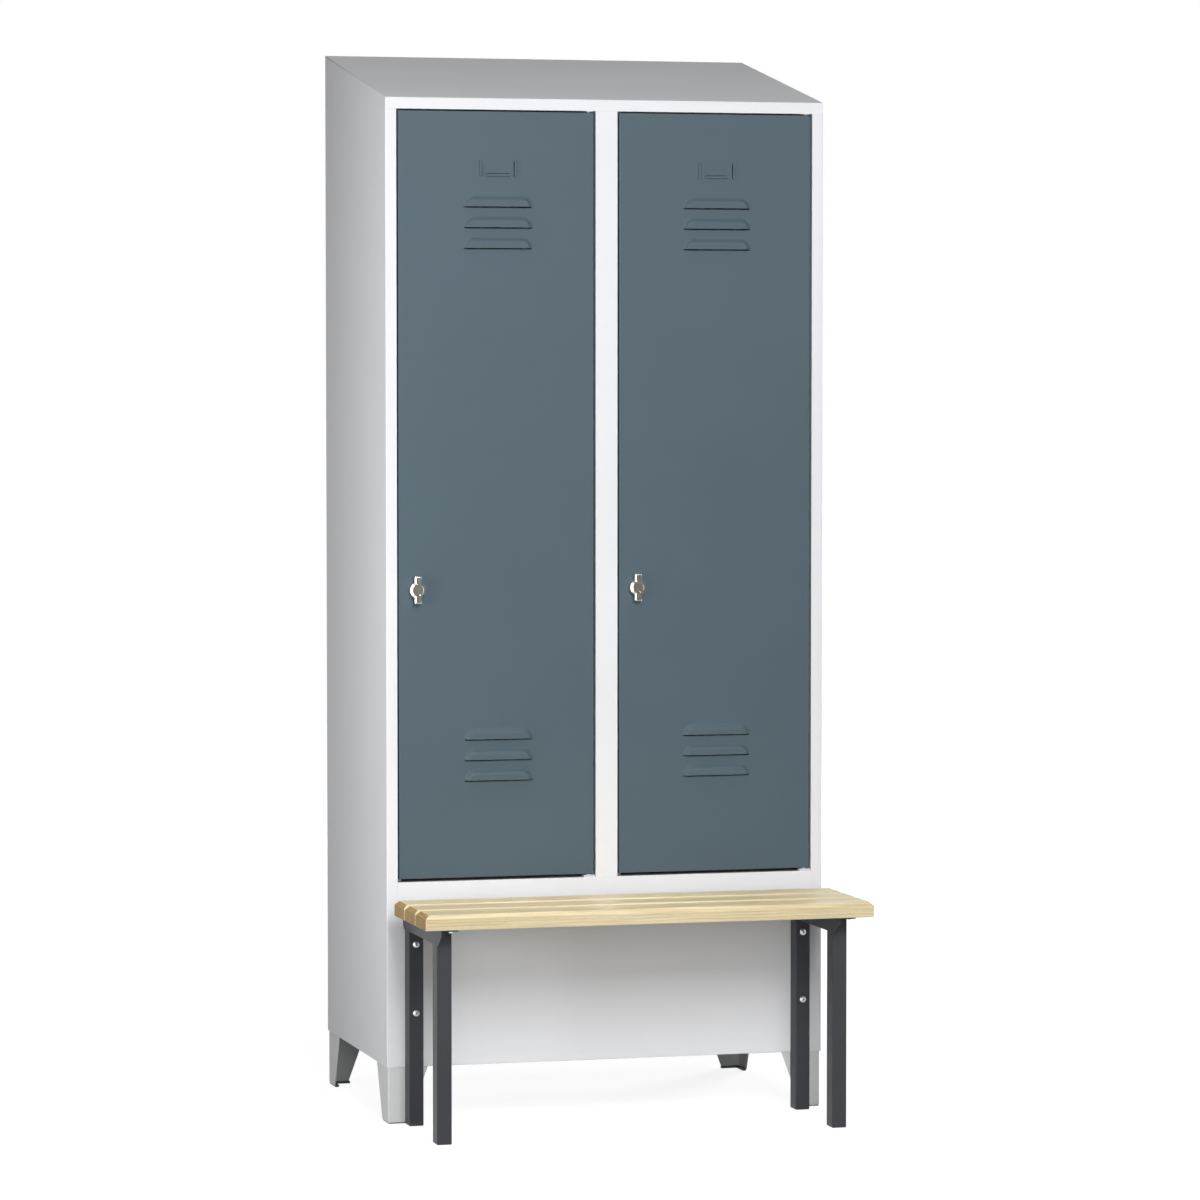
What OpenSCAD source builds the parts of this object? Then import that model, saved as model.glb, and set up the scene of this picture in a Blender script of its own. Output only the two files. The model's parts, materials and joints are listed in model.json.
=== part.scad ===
// Clothes locker with two compartments under one sloping roof, and a slatted bench in front of it.
// Folded steel sheet for the body and doors, steel tube for the bench legs, three wooden slats.
// +Z is up and the bench is towards -Y. The origin is on the floor, at the centre of the footprint.

/* [Locker body] */
// Width over the side panels
locker_w = 800; // [720:10:1000]
// Depth of the body without the bench
locker_d = 500; // [440:10:560]
// Height of the roof's front edge above the floor
front_h = 1800; // [1700:10:1900]
// How much higher the roof is at the back
roof_rise = 100; // [60:5:160]
// Height of the body's underside above the floor
foot_h = 100; // [80:5:130]
// Thickness of the body sheet
sheet_t = 1; // [0.8:0.1:1.4]
// Width of the flange at the back of each side panel
rear_flange = 15; // [10:1:25]
// Height of the turned-in hem along the bottom edges
hem_h = 15; // [10:1:25]

/* [Front frame] */
// Width of each outer stile
stile_w = 20; // [16:1:30]
// Width of the post between the doors
post_w = 40; // [36:1:60]
// Height of the rail above the doors
rail_h = 20; // [18:1:40]
// Height of the door sill above the floor
sill_z = 426; // [420:2:480]
// Depth to which the frame is folded back
return_d = 25; // [24.5:0.5:32]
// Width of the stop lip behind a door's free edge
lip_w = 12; // [11:1:14]
// Width of the stiffening fold at the back of the frame
fold_w = 10; // [6:1:12]
// Depth of the front flange of the compartment floor
floor_flange = 25; // [15:1:40]

/* [Feet] */
// Thickness of the pressed feet
foot_t = 1.5; // [1.2:0.1:2.5]
// Width of a foot's side wing at the body
foot_side_high = 90; // [75:1:110]
// Width of a foot's side wing at the floor
foot_side_low = 46; // [35:1:60]
// Width of a foot's front or rear wing at the body
foot_end_high = 72; // [60:1:90]
// Width of a foot's front or rear wing at the floor
foot_end_low = 36; // [28:1:50]
// Length of a foot inside the body
foot_tuck = 40; // [25:1:60]
// Width of the plastic glide and of the turned edge on it
glide_w = 7; // [5:0.5:10]
// Height of the glide
glide_h = 4; // [3:0.5:6]

/* [Doors] */
// Depth of a door's folded edges
door_d = 20; // [17:0.5:22]
// Gap at a door's free edge and above it
door_gap = 2.6; // [2.4:0.1:3.6]
// Gap at a door's hinged edge
hinge_gap = 3.8; // [3.6:0.1:5]
// Gap under a door
foot_gap = 5.6; // [4.8:0.2:7]
// Distance of the hinge axis from the door's edge and from its face
pivot_inset = 7.5; // [7:0.1:8]
// Width of the turned-in edge at the back of a door
door_lip = 15; // [12:1:20]
// Diameter of the hinge pins
pin_d = 6; // [5:0.5:7]
// Width of a hinge plate on the sill
hinge_plate_w = 20; // [16:1:22]
// Diameter of the plastic hinge bushes in the frame
bush_d = 10; // [9:0.5:11]

/* [Louvres and label holder] */
// Width of a louvre at its slit
louvre_w = 126; // [90:2:150]
// Height of a louvre
louvre_h = 20; // [14:1:26]
// How far a louvre stands out
louvre_out = 6.5; // [4:0.5:9]
// Width of a louvre's sloping shoulder
louvre_shoulder = 10; // [6:0.5:13]
// Height of the slit under a louvre
louvre_slit = 2; // [1:0.5:4]
// Distance from one louvre to the next
louvre_pitch = 36.3; // [30:0.1:45]
// Louvres in each set
louvre_n = 3; // [1:1:4]
// From the middle of the door to the middle of the louvres and the label holder
vent_off = 3; // [-20:0.5:20]
// From the door's top edge down to the highest slit
louvre_top = 166.4; // [140:0.2:220]
// From the door's bottom edge up to the lowest slit
louvre_foot = 171.4; // [100:0.2:220]
// Width over the label holder
label_w = 69; // [50:1:90]
// Height of the label holder
label_h = 28; // [20:1:40]
// From the door's top edge down to the label holder
label_top = 86.4; // [70:0.2:95]
// Width of the label holder's lower tab
label_bar = 42; // [30:1:46]
// Width of each lanced label tab
tab_w = 5; // [4:0.5:7]
// How far the label tabs stand off the door, for the card behind them
tab_stand = 1.2; // [0.8:0.1:2]

/* [Door stiffener] */
// Width of the stiffener's raised channel
stiffener_w = 32; // [24:1:36]
// Depth of the stiffener's channel
stiffener_d = 13; // [8:1:14]
// Width of each of the stiffener's flanges
stiffener_flange = 12; // [8:1:14]
// From the side of the opening to the middle of the stiffener
stiffener_x = 90; // [86:1:92]
// From a door's top and bottom edges to the stiffener's ends
stiffener_end = 30; // [20:5:80]

/* [Latches] */
// From the side of the opening to the latch axis
latch_x = 35; // [33:0.5:37]
// Height of the latch axis above the floor
latch_z = 940; // [850:5:1100]
// Diameter of the round base on the door
base_d = 28; // [27:0.5:32]
// Thickness of the round base
base_t = 3; // [2:0.5:5]
// Diameter of the base's neck through the door
neck_d = 16; // [14:0.5:18]
// Diameter of the turning cap at its foot
cap_d = 26; // [24:0.5:27]
// Diameter of the turning cap's face
cap_face_d = 21; // [18:0.5:23]
// Height of the turning cap
cap_t = 12.5; // [11:0.5:15]
// Length of the grip from end to end
grip_l = 48; // [42:1:56]
// Width of the grip
grip_w = 13; // [11:0.5:15]
// Height of the grip
grip_t = 10.5; // [9:0.5:11]
// Diameter of the spindle
spindle_d = 8; // [7:0.5:9]
// Side of the square at the end of the spindle
spindle_sq = 5.6; // [5:0.2:6]
// Length of the cam from the latch axis
cam_l = 38; // [34:1:42]
// Width of the cam
cam_w = 18; // [14:1:20]
// Thickness of the cam
cam_t = 2.5; // [2:0.5:4]
// Thickness of the locknut behind the door
locknut_t = 4; // [3:0.5:6]
// Diameter of the cam screw
cam_screw_d = 3; // [2.5:0.5:3.5]

/* [Inside the compartments] */
// Height of the hat shelf's top above the floor
shelf_z = 1500; // [1420:10:1560]
// Height of the hat shelf's folded front edge
shelf_fold = 20; // [15:1:30]
// From the frame back to the hat shelf's front edge
shelf_setback = 15; // [12:1:40]
// From the hat shelf's top down to the middle of the coat rail
rail_drop = 60; // [50:1:90]
// Height of the oval coat rail tube
tube_h = 30; // [24:1:34]
// Thickness of the oval coat rail tube
tube_t = 15; // [12:1:18]
// Wall of the oval coat rail tube
tube_wall = 1.2; // [1:0.1:1.6]
// Depth of a coat rail socket
socket_d = 12; // [8:1:16]
// Wall of a coat rail socket
socket_wall = 3; // [2:0.5:4]
// Distance between the sliding hooks at rest
hook_pitch = 100; // [95:1:110]
// Width of a hook's collar
hook_w = 12; // [10:1:14]
// Thickness of a hook's collar
hook_wall = 2.5; // [2:0.5:4]
// Thickness of a hook's rod
hook_rod = 6; // [5:0.5:7]
// Length of a hook's stem under its collar
hook_stem = 28; // [22:1:34]
// Radius of a hook's bend
hook_bend = 14; // [12:0.5:16]
// Length of a hook's straight end
hook_tip = 10; // [6:1:14]

/* [Bench] */
// How far the seat reaches in front of the body
seat_reach = 300; // [285:5:330]
// Height of the seat above the floor
seat_z = 402; // [380:1:408]
// Width of a slat
slat_w = 75; // [68:1:80]
// Thickness of a slat
slat_t = 27; // [22:1:30]
// Gap between the slats
slat_gap = 7.5; // [5:0.5:12]
// Width of the bevel round a slat's top
slat_bevel = 7; // [2:1:10]
// Width of a leg tube along X
leg_w = 26; // [22:1:30]
// Depth of a leg tube along Y
leg_d = 34; // [30:1:40]
// Wall of a leg tube
leg_wall = 1.5; // [1.2:0.1:2.5]
// Outer corner radius of a leg tube
leg_round = 2; // [1.8:0.1:3]
// From the locker's side to the middle of a leg
leg_inset = 45; // [40:1:70]
// From the seat's front edge back to the front legs
leg_setback = 54; // [50:1:60]
// Height of a leg's end cap
leg_cap_h = 6.5; // [5:0.5:10]
// Leg of the angle iron under the seat
angle_w = 30; // [30:1:36]
// Thickness of the angle iron
angle_t = 3; // [2.5:0.5:4]
// From the seat's front edge back to the end of the angle iron
angle_setback = 9; // [4:1:14]
// Height left at the end of the angle iron by its sloped corner
angle_nose = 11; // [8:1:14]
// Length of the angle iron's sloped corner
angle_slope = 24; // [15:1:30]
// Height of the lower leg bolt
bolt_low_z = 199; // [160:1:240]
// Height of the upper leg bolt
bolt_high_z = 320; // [280:1:325]
// Diameter of the leg bolts
bolt_d = 6; // [5:0.5:7]
// Diameter of the seat screws
screw_d = 4.5; // [4:0.5:5]
// Length of the seat screws above the angle iron
screw_l = 18; // [12:1:20]

/* [Wall fixing] */
// Distance between the two wall fixing holes
wall_hole_span = 600; // [400:10:640]
// Height of the wall fixing holes above the floor
wall_hole_z = 1700; // [1620:10:1760]
// Diameter of the wall fixing holes
wall_hole_d = 8; // [6:0.5:10]

/* [Hidden] */
$fn = 48;

// Finishes
body_grey = "#e4e6e8";
inside_grey = "#d9dbdd";
door_blue = "#606d75";
bench_dark = "#45484d";
black_plastic = "#1c1d1f";
pale_plastic = "#c9ccce";
nickel = "#b9babb";
zinc = "#a4a8ac";
wood = "#dfd0aa";

// Small fits
slip = 0.05;
ease = 0.2;
running = 0.3;
eps = 0.01;

// Sides and bays: left is 0 and right is 1
left = 0;
right = 1;

// The body
half_w = locker_w / 2;
y_front = (seat_reach - locker_d) / 2;
y_back = y_front + locker_d;
y_mid = (y_front + y_back) / 2;
skin_y = y_back - 2 * sheet_t;
head_z = front_h - rail_h;
function roof_z(y) = front_h + (y - y_front) * roof_rise / locker_d;

// The door openings and the doors
bay_w = (locker_w - 2 * stile_w - post_w) / 2;
function bay_x(bay) = bay == left ? -half_w + stile_w : post_w / 2;
function door_x0(bay) = bay_x(bay) + door_gap;
function door_x1(bay) = bay_x(bay) + bay_w - hinge_gap;
door_z0 = sill_z + foot_gap;
door_z1 = head_z - door_gap;
function pivot_x(bay) = door_x1(bay) - pivot_inset;
pivot_y = y_front + pivot_inset;
stop_y = y_front + return_d;

// The room inside each compartment
function room_x0(bay) = bay == left ? -half_w + sheet_t : sheet_t / 2;
function room_x1(bay) = bay == left ? -sheet_t / 2 : half_w - sheet_t;
function room_mid(bay) = (room_x0(bay) + room_x1(bay)) / 2;

// Hinges
pin_r = pin_d / 2;
head_ledge = 2;
pin_head_d = pin_d + 2 * head_ledge;
pin_head_t = 2.5;
pin_collar_t = 1.2;
plate_t = foot_gap - pin_collar_t - ease;
plate_d = 13.4;
bush_collar_t = door_gap - 1.4;
bush_collar_d = bush_d + 2 * head_ledge;
bush_l = 7;

// Door buffers
buffer_d = 8;
buffer_t = return_d - sheet_t - door_d - running;
buffer_stem_d = 4;
buffer_stem_l = 2;
buffer_end = 150;

// Half the straight length of a louvre, between its round corners
louvre_half = louvre_w / 2 - louvre_h;
vent_x = (bay_w + door_gap - hinge_gap) / 2 + vent_off;

tab_bend = 1;

// Latch depths, counted back from the door's face
neck_l = 12;
cap_face = base_t + running + cap_t;
grip_round = 1.5;
cam_y0 = return_d + 0.5;
cam_y1 = cam_y0 + cam_t;
locknut_af = neck_d + 8;
spindle_r = spindle_d / 2;
cam_screw_l = 8;
cam_head_d = 11;
cam_head_t = 2.4;
emblem_d = cap_face_d - 3;
emblem_rim = 1;
emblem_deep = 0.8;

// Coat rails and hooks
rail_z = shelf_z - rail_drop;
rail_y = y_mid;
collar_gap = 0.4;
hook_tip_ball = hook_rod + 1.5;

// Shelf flanges
shelf_flange = 14;
shelf_return = 10;

// Feet
foot_inset = 2 * sheet_t;
foot_z0 = 1;
glide_past = 2;

// Bench
leg_x = half_w - leg_inset;
seat_low = seat_z - slat_t;
leg_top = seat_low - angle_t;
leg_front_y = y_front - seat_reach + leg_setback;
cap_plug_h = 12;
bolt_hole_d = bolt_d + 0.6;
bolt_head_d = bolt_d * 2;
bolt_head_t = bolt_d * 0.6;
bolt_socket = bolt_d * 0.66;
nut_af = bolt_d * 1.67;
nut_t = bolt_d * 0.8;
washer_d = bolt_d * 2.3;
washer_t = 1.2;
screw_head_d = screw_d * 2;
screw_head_t = 2.4;
slat_screw_in = 14;
slat_screw_share = 0.3;
angle_heel = 8;

// A box from its low corner to its high corner
module block(low, high) {
    translate(low) cube(high - low);
}

// A plate that lies across X, from an outline in Y and Z
module plate_x(x, thick, outline) {
    translate([x, 0, 0]) rotate([90, 0, 90]) linear_extrude(thick) polygon(outline);
}

// A plate that lies across Y, from an outline in X and Z
module plate_y(y, thick, outline) {
    translate([0, y + thick, 0]) rotate([90, 0, 0]) linear_extrude(thick) polygon(outline);
}

// A round rod along Y
module rod_y(d, y0, y1) {
    translate([0, y1, 0]) rotate([90, 0, 0]) cylinder(d = d, h = y1 - y0);
}

// A round rod along X, centred on the origin
module rod_x(d, l) {
    rotate([0, 90, 0]) cylinder(d = d, h = l, center = true);
}

// A rectangle with round corners
module round_rect(w, h, r) {
    square([w - 2 * r, h], center = true);
    square([w, h - 2 * r], center = true);
    for (x = [-1, 1], y = [-1, 1])
        translate([x * (w / 2 - r), y * (h / 2 - r)]) circle(r);
}

// An upright oval with straight sides
module oval(h, t) {
    square([t, h - t], center = true);
    for (y = [-1, 1]) translate([0, y * (h - t) / 2]) circle(d = t);
}

// An oval bar along X, centred on the origin
module oval_bar(h, t, l) {
    rotate([90, 0, 90]) linear_extrude(l, center = true) oval(h, t);
}

// The wall, stile, folds and flange that both side panels share, drawn for the left one
module side_panel() {
    plate_x(-half_w, sheet_t, [
        [y_front, foot_h],
        [y_back, foot_h],
        [y_back, roof_z(y_back) - sheet_t],
        [y_front + sheet_t, roof_z(y_front + sheet_t) - sheet_t],
        [y_front + sheet_t, head_z],
        [y_front, head_z],
    ]);
    block([-half_w, y_front, foot_h], [-half_w + stile_w, y_front + sheet_t, head_z]);
    block([-half_w + stile_w - sheet_t, y_front, sill_z], [-half_w + stile_w, stop_y, head_z]);
    block([-half_w, y_back - sheet_t, foot_h],
        [-half_w + rear_flange, y_back, roof_z(y_back - sheet_t) - sheet_t]);
    block([-half_w, y_front + sheet_t, foot_h], [-half_w + 2 * sheet_t, skin_y, foot_h + hem_h]);
}

// Left side panel, with the stop lip for the left door
module side_panel_left() {
    lip_x = -half_w + stile_w;
    color(body_grey) difference() {
        union() {
            side_panel();
            block([lip_x - sheet_t, stop_y - sheet_t, sill_z], [lip_x + lip_w, stop_y, head_z]);
        }
        buffer_places(left) rod_y(buffer_stem_d + 2 * slip, -sheet_t - eps, eps);
    }
}

// Right side panel, which has no stop lip because the right door is hinged there
module side_panel_right() {
    fold_x = half_w - stile_w;
    color(body_grey) {
        mirror([1, 0, 0]) side_panel();
        block([fold_x, stop_y - sheet_t, sill_z], [fold_x + fold_w, stop_y, head_z]);
    }
}

// Back panel, inside the rear flanges
module back_panel() {
    color(body_grey) difference() {
        block([-half_w + sheet_t, skin_y, foot_h],
            [half_w - sheet_t, skin_y + sheet_t, roof_z(skin_y) - sheet_t - ease]);
        for (x = [-1, 1])
            translate([x * wall_hole_span / 2, 0, wall_hole_z])
                rod_y(wall_hole_d, skin_y - eps, skin_y + sheet_t + eps);
    }
}

// Sloping roof, folded down into the rail above the doors and over the back
module roof_panel() {
    rail_back = head_z + sheet_t;
    color(body_grey) difference() {
        union() {
            plate_x(-half_w, locker_w, [
                [y_front, head_z],
                [y_front + sheet_t, head_z],
                [y_front + sheet_t, roof_z(y_front + sheet_t) - sheet_t],
                [y_back, roof_z(y_back) - sheet_t],
                [y_back, roof_z(y_back)],
                [y_front, roof_z(y_front)],
            ]);
            block([-half_w + sheet_t, y_front, head_z], [half_w - sheet_t, stop_y, rail_back]);
            block([-half_w + sheet_t, stop_y - sheet_t, head_z],
                [half_w - sheet_t, stop_y, rail_back + fold_w]);
            block([-half_w + rear_flange + ease, y_back - sheet_t, roof_z(y_back) - rail_h],
                [half_w - rear_flange - ease, y_back, roof_z(y_back) - sheet_t]);
        }
        for (bay = [left, right])
            translate([pivot_x(bay), pivot_y, head_z - eps])
                cylinder(d = bush_d + 2 * slip, h = sheet_t + 2 * eps);
    }
}

// Post between the doors: a channel with the right door's stop lip on one side
module centre_post() {
    half = post_w / 2;
    color(body_grey) difference() {
        union() {
            block([-half, y_front, sill_z], [half, y_front + sheet_t, head_z]);
            for (x = [-half, half - sheet_t])
                block([x, y_front, sill_z], [x + sheet_t, stop_y, head_z]);
            block([-half, stop_y - sheet_t, sill_z], [-half + fold_w, stop_y, head_z]);
            block([half - sheet_t, stop_y - sheet_t, sill_z], [half + lip_w, stop_y, head_z]);
        }
        buffer_places(right) rod_y(buffer_stem_d + 2 * slip, -sheet_t - eps, eps);
    }
}

// Wall between the two compartments, with a flange on the back of the post
module partition() {
    color(inside_grey) {
        plate_x(-sheet_t / 2, sheet_t, [
            [stop_y, sill_z],
            [skin_y, sill_z],
            [skin_y, roof_z(skin_y) - sheet_t - ease],
            [stop_y, roof_z(stop_y) - sheet_t - ease],
        ]);
        block([-post_w / 2, stop_y, sill_z], [sheet_t / 2, stop_y + sheet_t, head_z]);
    }
}

// Floor of both compartments, folded down behind the plinth
module floor_pan() {
    low = sill_z - sheet_t;
    color(inside_grey) difference() {
        union() {
            block([-half_w + sheet_t, y_front + sheet_t, low], [half_w - sheet_t, skin_y, sill_z]);
            block([-half_w + sheet_t, y_front + sheet_t, sill_z - floor_flange],
                [half_w - sheet_t, y_front + 2 * sheet_t, low]);
        }
        for (bay = [left, right])
            translate([pivot_x(bay), pivot_y, low - eps])
                cylinder(d = bush_d + 2 * slip, h = sheet_t + 2 * eps);
    }
}

// Closed panel under the doors, behind the bench
module plinth_panel() {
    color(body_grey) difference() {
        union() {
            block([-half_w + stile_w, y_front, foot_h],
                [half_w - stile_w, y_front + sheet_t, sill_z]);
            block([-half_w + stile_w, y_front + sheet_t, foot_h],
                [half_w - stile_w, y_front + 2 * sheet_t, foot_h + hem_h]);
        }
        bolt_places() rod_y(bolt_hole_d, -eps, sheet_t + eps);
    }
}

// Puts its children in each corner of the body that is asked for
module in_corner(side, rear) {
    x = side == left ? -1 : 1;
    y = rear ? 1 : -1;
    translate([x * (half_w - foot_inset), y_mid + y * (locker_d / 2 - foot_inset), 0])
        mirror([side == left ? 0 : 1, 0, 0])
            mirror([0, rear ? 1 : 0, 0])
                children();
}

// One pressed foot, with its corner at the origin and its wings along +X and +Y
module foot(side, rear) {
    top = foot_h + foot_tuck;
    color(body_grey) in_corner(side, rear) {
        plate_x(0, foot_t, [
            [0, foot_z0],
            [foot_side_low, foot_z0],
            [foot_side_high, foot_h],
            [foot_side_high, top],
            [0, top],
        ]);
        plate_y(0, foot_t, [
            [0, foot_z0],
            [foot_end_low, foot_z0],
            [foot_end_high, foot_h],
            [foot_end_high, top],
            [0, top],
        ]);
        block([0, 0, glide_h], [foot_t + glide_w, foot_side_low, glide_h + foot_t]);
        block([0, 0, glide_h], [foot_end_low, foot_t + glide_w, glide_h + foot_t]);
    }
}

// Plastic glides inside the lower edge of the feet
module foot_glides() {
    color(black_plastic)
        for (side = [left, right], rear = [false, true])
            in_corner(side, rear) {
                block([foot_t, foot_t, 0], [foot_t + glide_w, foot_side_low + glide_past, glide_h]);
                block([foot_t, foot_t, 0], [foot_end_low + glide_past, foot_t + glide_w, glide_h]);
            }
}

// Hat shelf with a folded front edge and flanges down its sides
module hat_shelf(bay) {
    x0 = room_x0(bay);
    x1 = room_x1(bay);
    y0 = stop_y + shelf_setback;
    low = shelf_z - sheet_t;
    color(inside_grey) {
        block([x0, y0, low], [x1, skin_y, shelf_z]);
        block([x0, y0, shelf_z - shelf_fold], [x1, y0 + sheet_t, shelf_z]);
        block([x0, y0, shelf_z - shelf_fold], [x1, y0 + shelf_return, shelf_z - shelf_fold + sheet_t]);
        for (x = [x0, x1 - sheet_t])
            block([x, y0, low - shelf_flange], [x + sheet_t, skin_y, shelf_z]);
    }
}

// Oval coat rail between its two sockets
module coat_rail(bay) {
    base = socket_wall + ease;
    length = room_x1(bay) - room_x0(bay) - 2 * base;
    color(zinc) translate([room_mid(bay), rail_y, rail_z]) difference() {
        oval_bar(tube_h, tube_t, length);
        oval_bar(tube_h - 2 * tube_wall, tube_t - 2 * tube_wall, length + 1);
    }
}

// Sockets that hold the coat rails on the side panels and on the partition
module rail_sockets() {
    grow = 2 * (socket_wall + ease);
    color(pale_plastic)
        for (bay = [left, right], end = [0, 1]) {
            x = end == 0 ? room_x0(bay) : room_x1(bay) - socket_d;
            cup = end == 0 ? socket_wall : -socket_wall;
            translate([x + socket_d / 2, rail_y, rail_z]) difference() {
                oval_bar(tube_h + grow, tube_t + grow, socket_d);
                translate([cup, 0, 0])
                    oval_bar(tube_h + 2 * ease, tube_t + 2 * ease, socket_d);
            }
        }
}

// Sliding double hook on the coat rail
module hook(bay, place) {
    hole_h = tube_h + 2 * collar_gap;
    hole_t = tube_t + 2 * collar_gap;
    stem_low = -hole_h / 2 - hook_wall - hook_stem;
    color(black_plastic)
        translate([room_mid(bay) + (place - 2) * hook_pitch, rail_y, rail_z]) difference() {
            union() {
                oval_bar(hole_h + 2 * hook_wall, hole_t + 2 * hook_wall, hook_w);
                translate([0, 0, stem_low])
                    cylinder(d = hook_rod, h = hook_stem + hook_wall);
                for (side = [-1, 1]) {
                    translate([0, side * hook_bend, stem_low]) rotate([0, 90, 0]) intersection() {
                        rotate_extrude() translate([hook_bend, 0]) circle(d = hook_rod);
                        translate([0, -2 * hook_bend, -hook_rod])
                            cube([2 * hook_bend, 4 * hook_bend, 2 * hook_rod]);
                    }
                    translate([0, 2 * side * hook_bend, stem_low]) {
                        cylinder(d = hook_rod, h = hook_tip);
                        translate([0, 0, hook_tip]) sphere(d = hook_tip_ball);
                    }
                }
            }
            oval_bar(hole_h, hole_t, hook_w + 1);
        }
}

// Puts its children on the front face of a door's stop lip, at each buffer
module buffer_places(bay) {
    for (z = [sill_z + buffer_end, head_z - buffer_end])
        translate([bay_x(bay) + lip_w / 2, stop_y, z]) children();
}

// Rubber buffers on the stop lips
module door_buffers() {
    color(black_plastic)
        for (bay = [left, right])
            buffer_places(bay) {
                rod_y(buffer_d, -sheet_t - buffer_t, -sheet_t);
                rod_y(buffer_stem_d, -sheet_t - eps, buffer_stem_l);
            }
}

// Plastic hinge plates on the sill, each with a bush through the floor
module hinge_bushes_lower() {
    color(pale_plastic)
        for (bay = [left, right])
            translate([pivot_x(bay), pivot_y, sill_z]) difference() {
                union() {
                    block([-hinge_plate_w / 2, -plate_d / 2, 0],
                        [hinge_plate_w / 2, plate_d / 2, plate_t]);
                    translate([0, 0, -bush_l]) cylinder(d = bush_d, h = bush_l + 1);
                }
                translate([0, 0, -bush_l - 1]) cylinder(r = pin_r + slip, h = bush_l + plate_t + 2);
            }
}

// Plastic hinge bushes in the rail above the doors
module hinge_bushes_upper() {
    color(pale_plastic)
        for (bay = [left, right])
            translate([pivot_x(bay), pivot_y, head_z]) difference() {
                union() {
                    translate([0, 0, -bush_collar_t]) cylinder(d = bush_collar_d, h = bush_collar_t);
                    translate([0, 0, -eps]) cylinder(d = bush_d, h = bush_l);
                }
                translate([0, 0, -bush_collar_t - 1]) cylinder(r = pin_r + slip, h = bush_l + plate_t);
            }
}

// A louvre's section, upwards from its slit: a flat field and a sloping shoulder
function louvre_section(reach, out, base) = [
    [0, base],
    [reach, base],
    [reach, 0],
    [reach - louvre_shoulder * 0.35, out * 0.25],
    [reach - louvre_shoulder * 0.7, out * 0.8],
    [reach - louvre_shoulder, out],
    [0, out],
];

// A louvre's outer shape, or its hollow when shrunk, with the slit at z = 0 and the front at -Y
module louvre_form(shrink) {
    base = shrink > 0 ? -2 * sheet_t : -sheet_t / 2;
    outline = louvre_section(louvre_h - shrink, louvre_out - shrink, base);
    translate([-louvre_half, 0, 0]) rotate([90, 0, 90]) linear_extrude(2 * louvre_half)
        polygon([for (p = outline) [-p[1], p[0]]]);
    for (side = [0, 1])
        mirror([side, 0, 0]) translate([louvre_half, 0, 0]) rotate([90, 0, 0]) intersection() {
            rotate_extrude() polygon(outline);
            translate([0, 0, -louvre_h]) cube(2 * louvre_h);
        }
}

// The hollow of a louvre, with its slit through the door below it
module louvre_hollow() {
    end = louvre_w / 2 - 2 * sheet_t;
    louvre_form(sheet_t);
    block([-end, -eps, -louvre_slit], [end, 2 * sheet_t, sheet_t]);
}

// Puts its children at each louvre's slit
module louvre_places(bay) {
    for (i = [0 : louvre_n - 1], z = [
        door_z1 - louvre_top - i * louvre_pitch,
        door_z0 + louvre_foot + i * louvre_pitch,
    ])
        translate([bay_x(bay) + vent_x, y_front, z]) children();
}

// One lanced tab of the label holder: joined along x = 0, and free along x = tab_w
module label_tab(l) {
    out = tab_stand + sheet_t;
    linear_extrude(l) polygon([
        [0, eps],
        [tab_bend, -out],
        [tab_w, -out],
        [tab_w, -tab_stand],
        [2 * tab_bend, -tab_stand],
        [2 * tab_bend, eps],
    ]);
}

// The window that a lanced tab leaves in the sheet behind it
module label_window(l) {
    translate([2 * tab_bend, -eps, tab_bend]) cube([tab_w - tab_bend, 2 * sheet_t, l - 2 * tab_bend]);
}

// Puts its first child at the two upright tabs and its second along the lower edge
module label_places(bay) {
    low = door_z1 - label_top - label_h;
    translate([bay_x(bay) + vent_x, y_front, low]) {
        for (side = [0, 1])
            mirror([side, 0, 0]) translate([-label_w / 2, 0, 0]) children(0);
        translate([label_bar / 2, 0, 0]) rotate([0, -90, 0]) children(1);
    }
}

// Door: a tray folded from one sheet, with louvres, a label holder and bores for the hinge pins
module door(bay) {
    x0 = door_x0(bay);
    x1 = door_x1(bay);
    y1 = y_front + door_d;
    axis = [bay_x(bay) + latch_x, y_front, latch_z];
    color(door_blue) difference() {
        union() {
            block([x0, y_front, door_z0], [x1, y_front + sheet_t, door_z1]);
            for (x = [x0, x1 - sheet_t])
                block([x, y_front, door_z0], [x + sheet_t, y1, door_z1]);
            for (z = [door_z0, door_z1 - sheet_t])
                block([x0, y_front, z], [x1, y1, z + sheet_t]);
            block([x0, y1 - sheet_t, door_z0], [x0 + door_lip, y1, door_z1]);
            block([x1 - door_lip, y1 - sheet_t, door_z0], [x1, y1, door_z1]);
            louvre_places(bay) louvre_form(0);
            label_places(bay) {
                label_tab(label_h);
                label_tab(label_bar);
            }
        }
        louvre_places(bay) louvre_hollow();
        label_places(bay) {
            label_window(label_h);
            label_window(label_bar);
        }
        translate([pivot_x(bay), pivot_y, door_z0 - 1])
            cylinder(r = pin_r + slip, h = door_z1 - door_z0 + 2);
        translate(axis) rod_y(neck_d + 2 * ease, -eps, 2 * sheet_t);
    }
}

// Stiffener inside the door: an upright channel with a flange on each side
module door_stiffener(bay) {
    mid = bay_x(bay) + stiffener_x;
    half = stiffener_w / 2;
    y0 = y_front + sheet_t;
    y1 = y0 + stiffener_d;
    z0 = door_z0 + stiffener_end;
    z1 = door_z1 - stiffener_end;
    color(door_blue) {
        block([mid - half, y1 - sheet_t, z0], [mid + half, y1, z1]);
        for (x = [mid - half, mid + half - sheet_t])
            block([x, y0, z0], [x + sheet_t, y1, z1]);
        block([mid - half - stiffener_flange, y0, z0], [mid - half + sheet_t, y0 + sheet_t, z1]);
        block([mid + half - sheet_t, y0, z0], [mid + half + stiffener_flange, y0 + sheet_t, z1]);
    }
}

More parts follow.
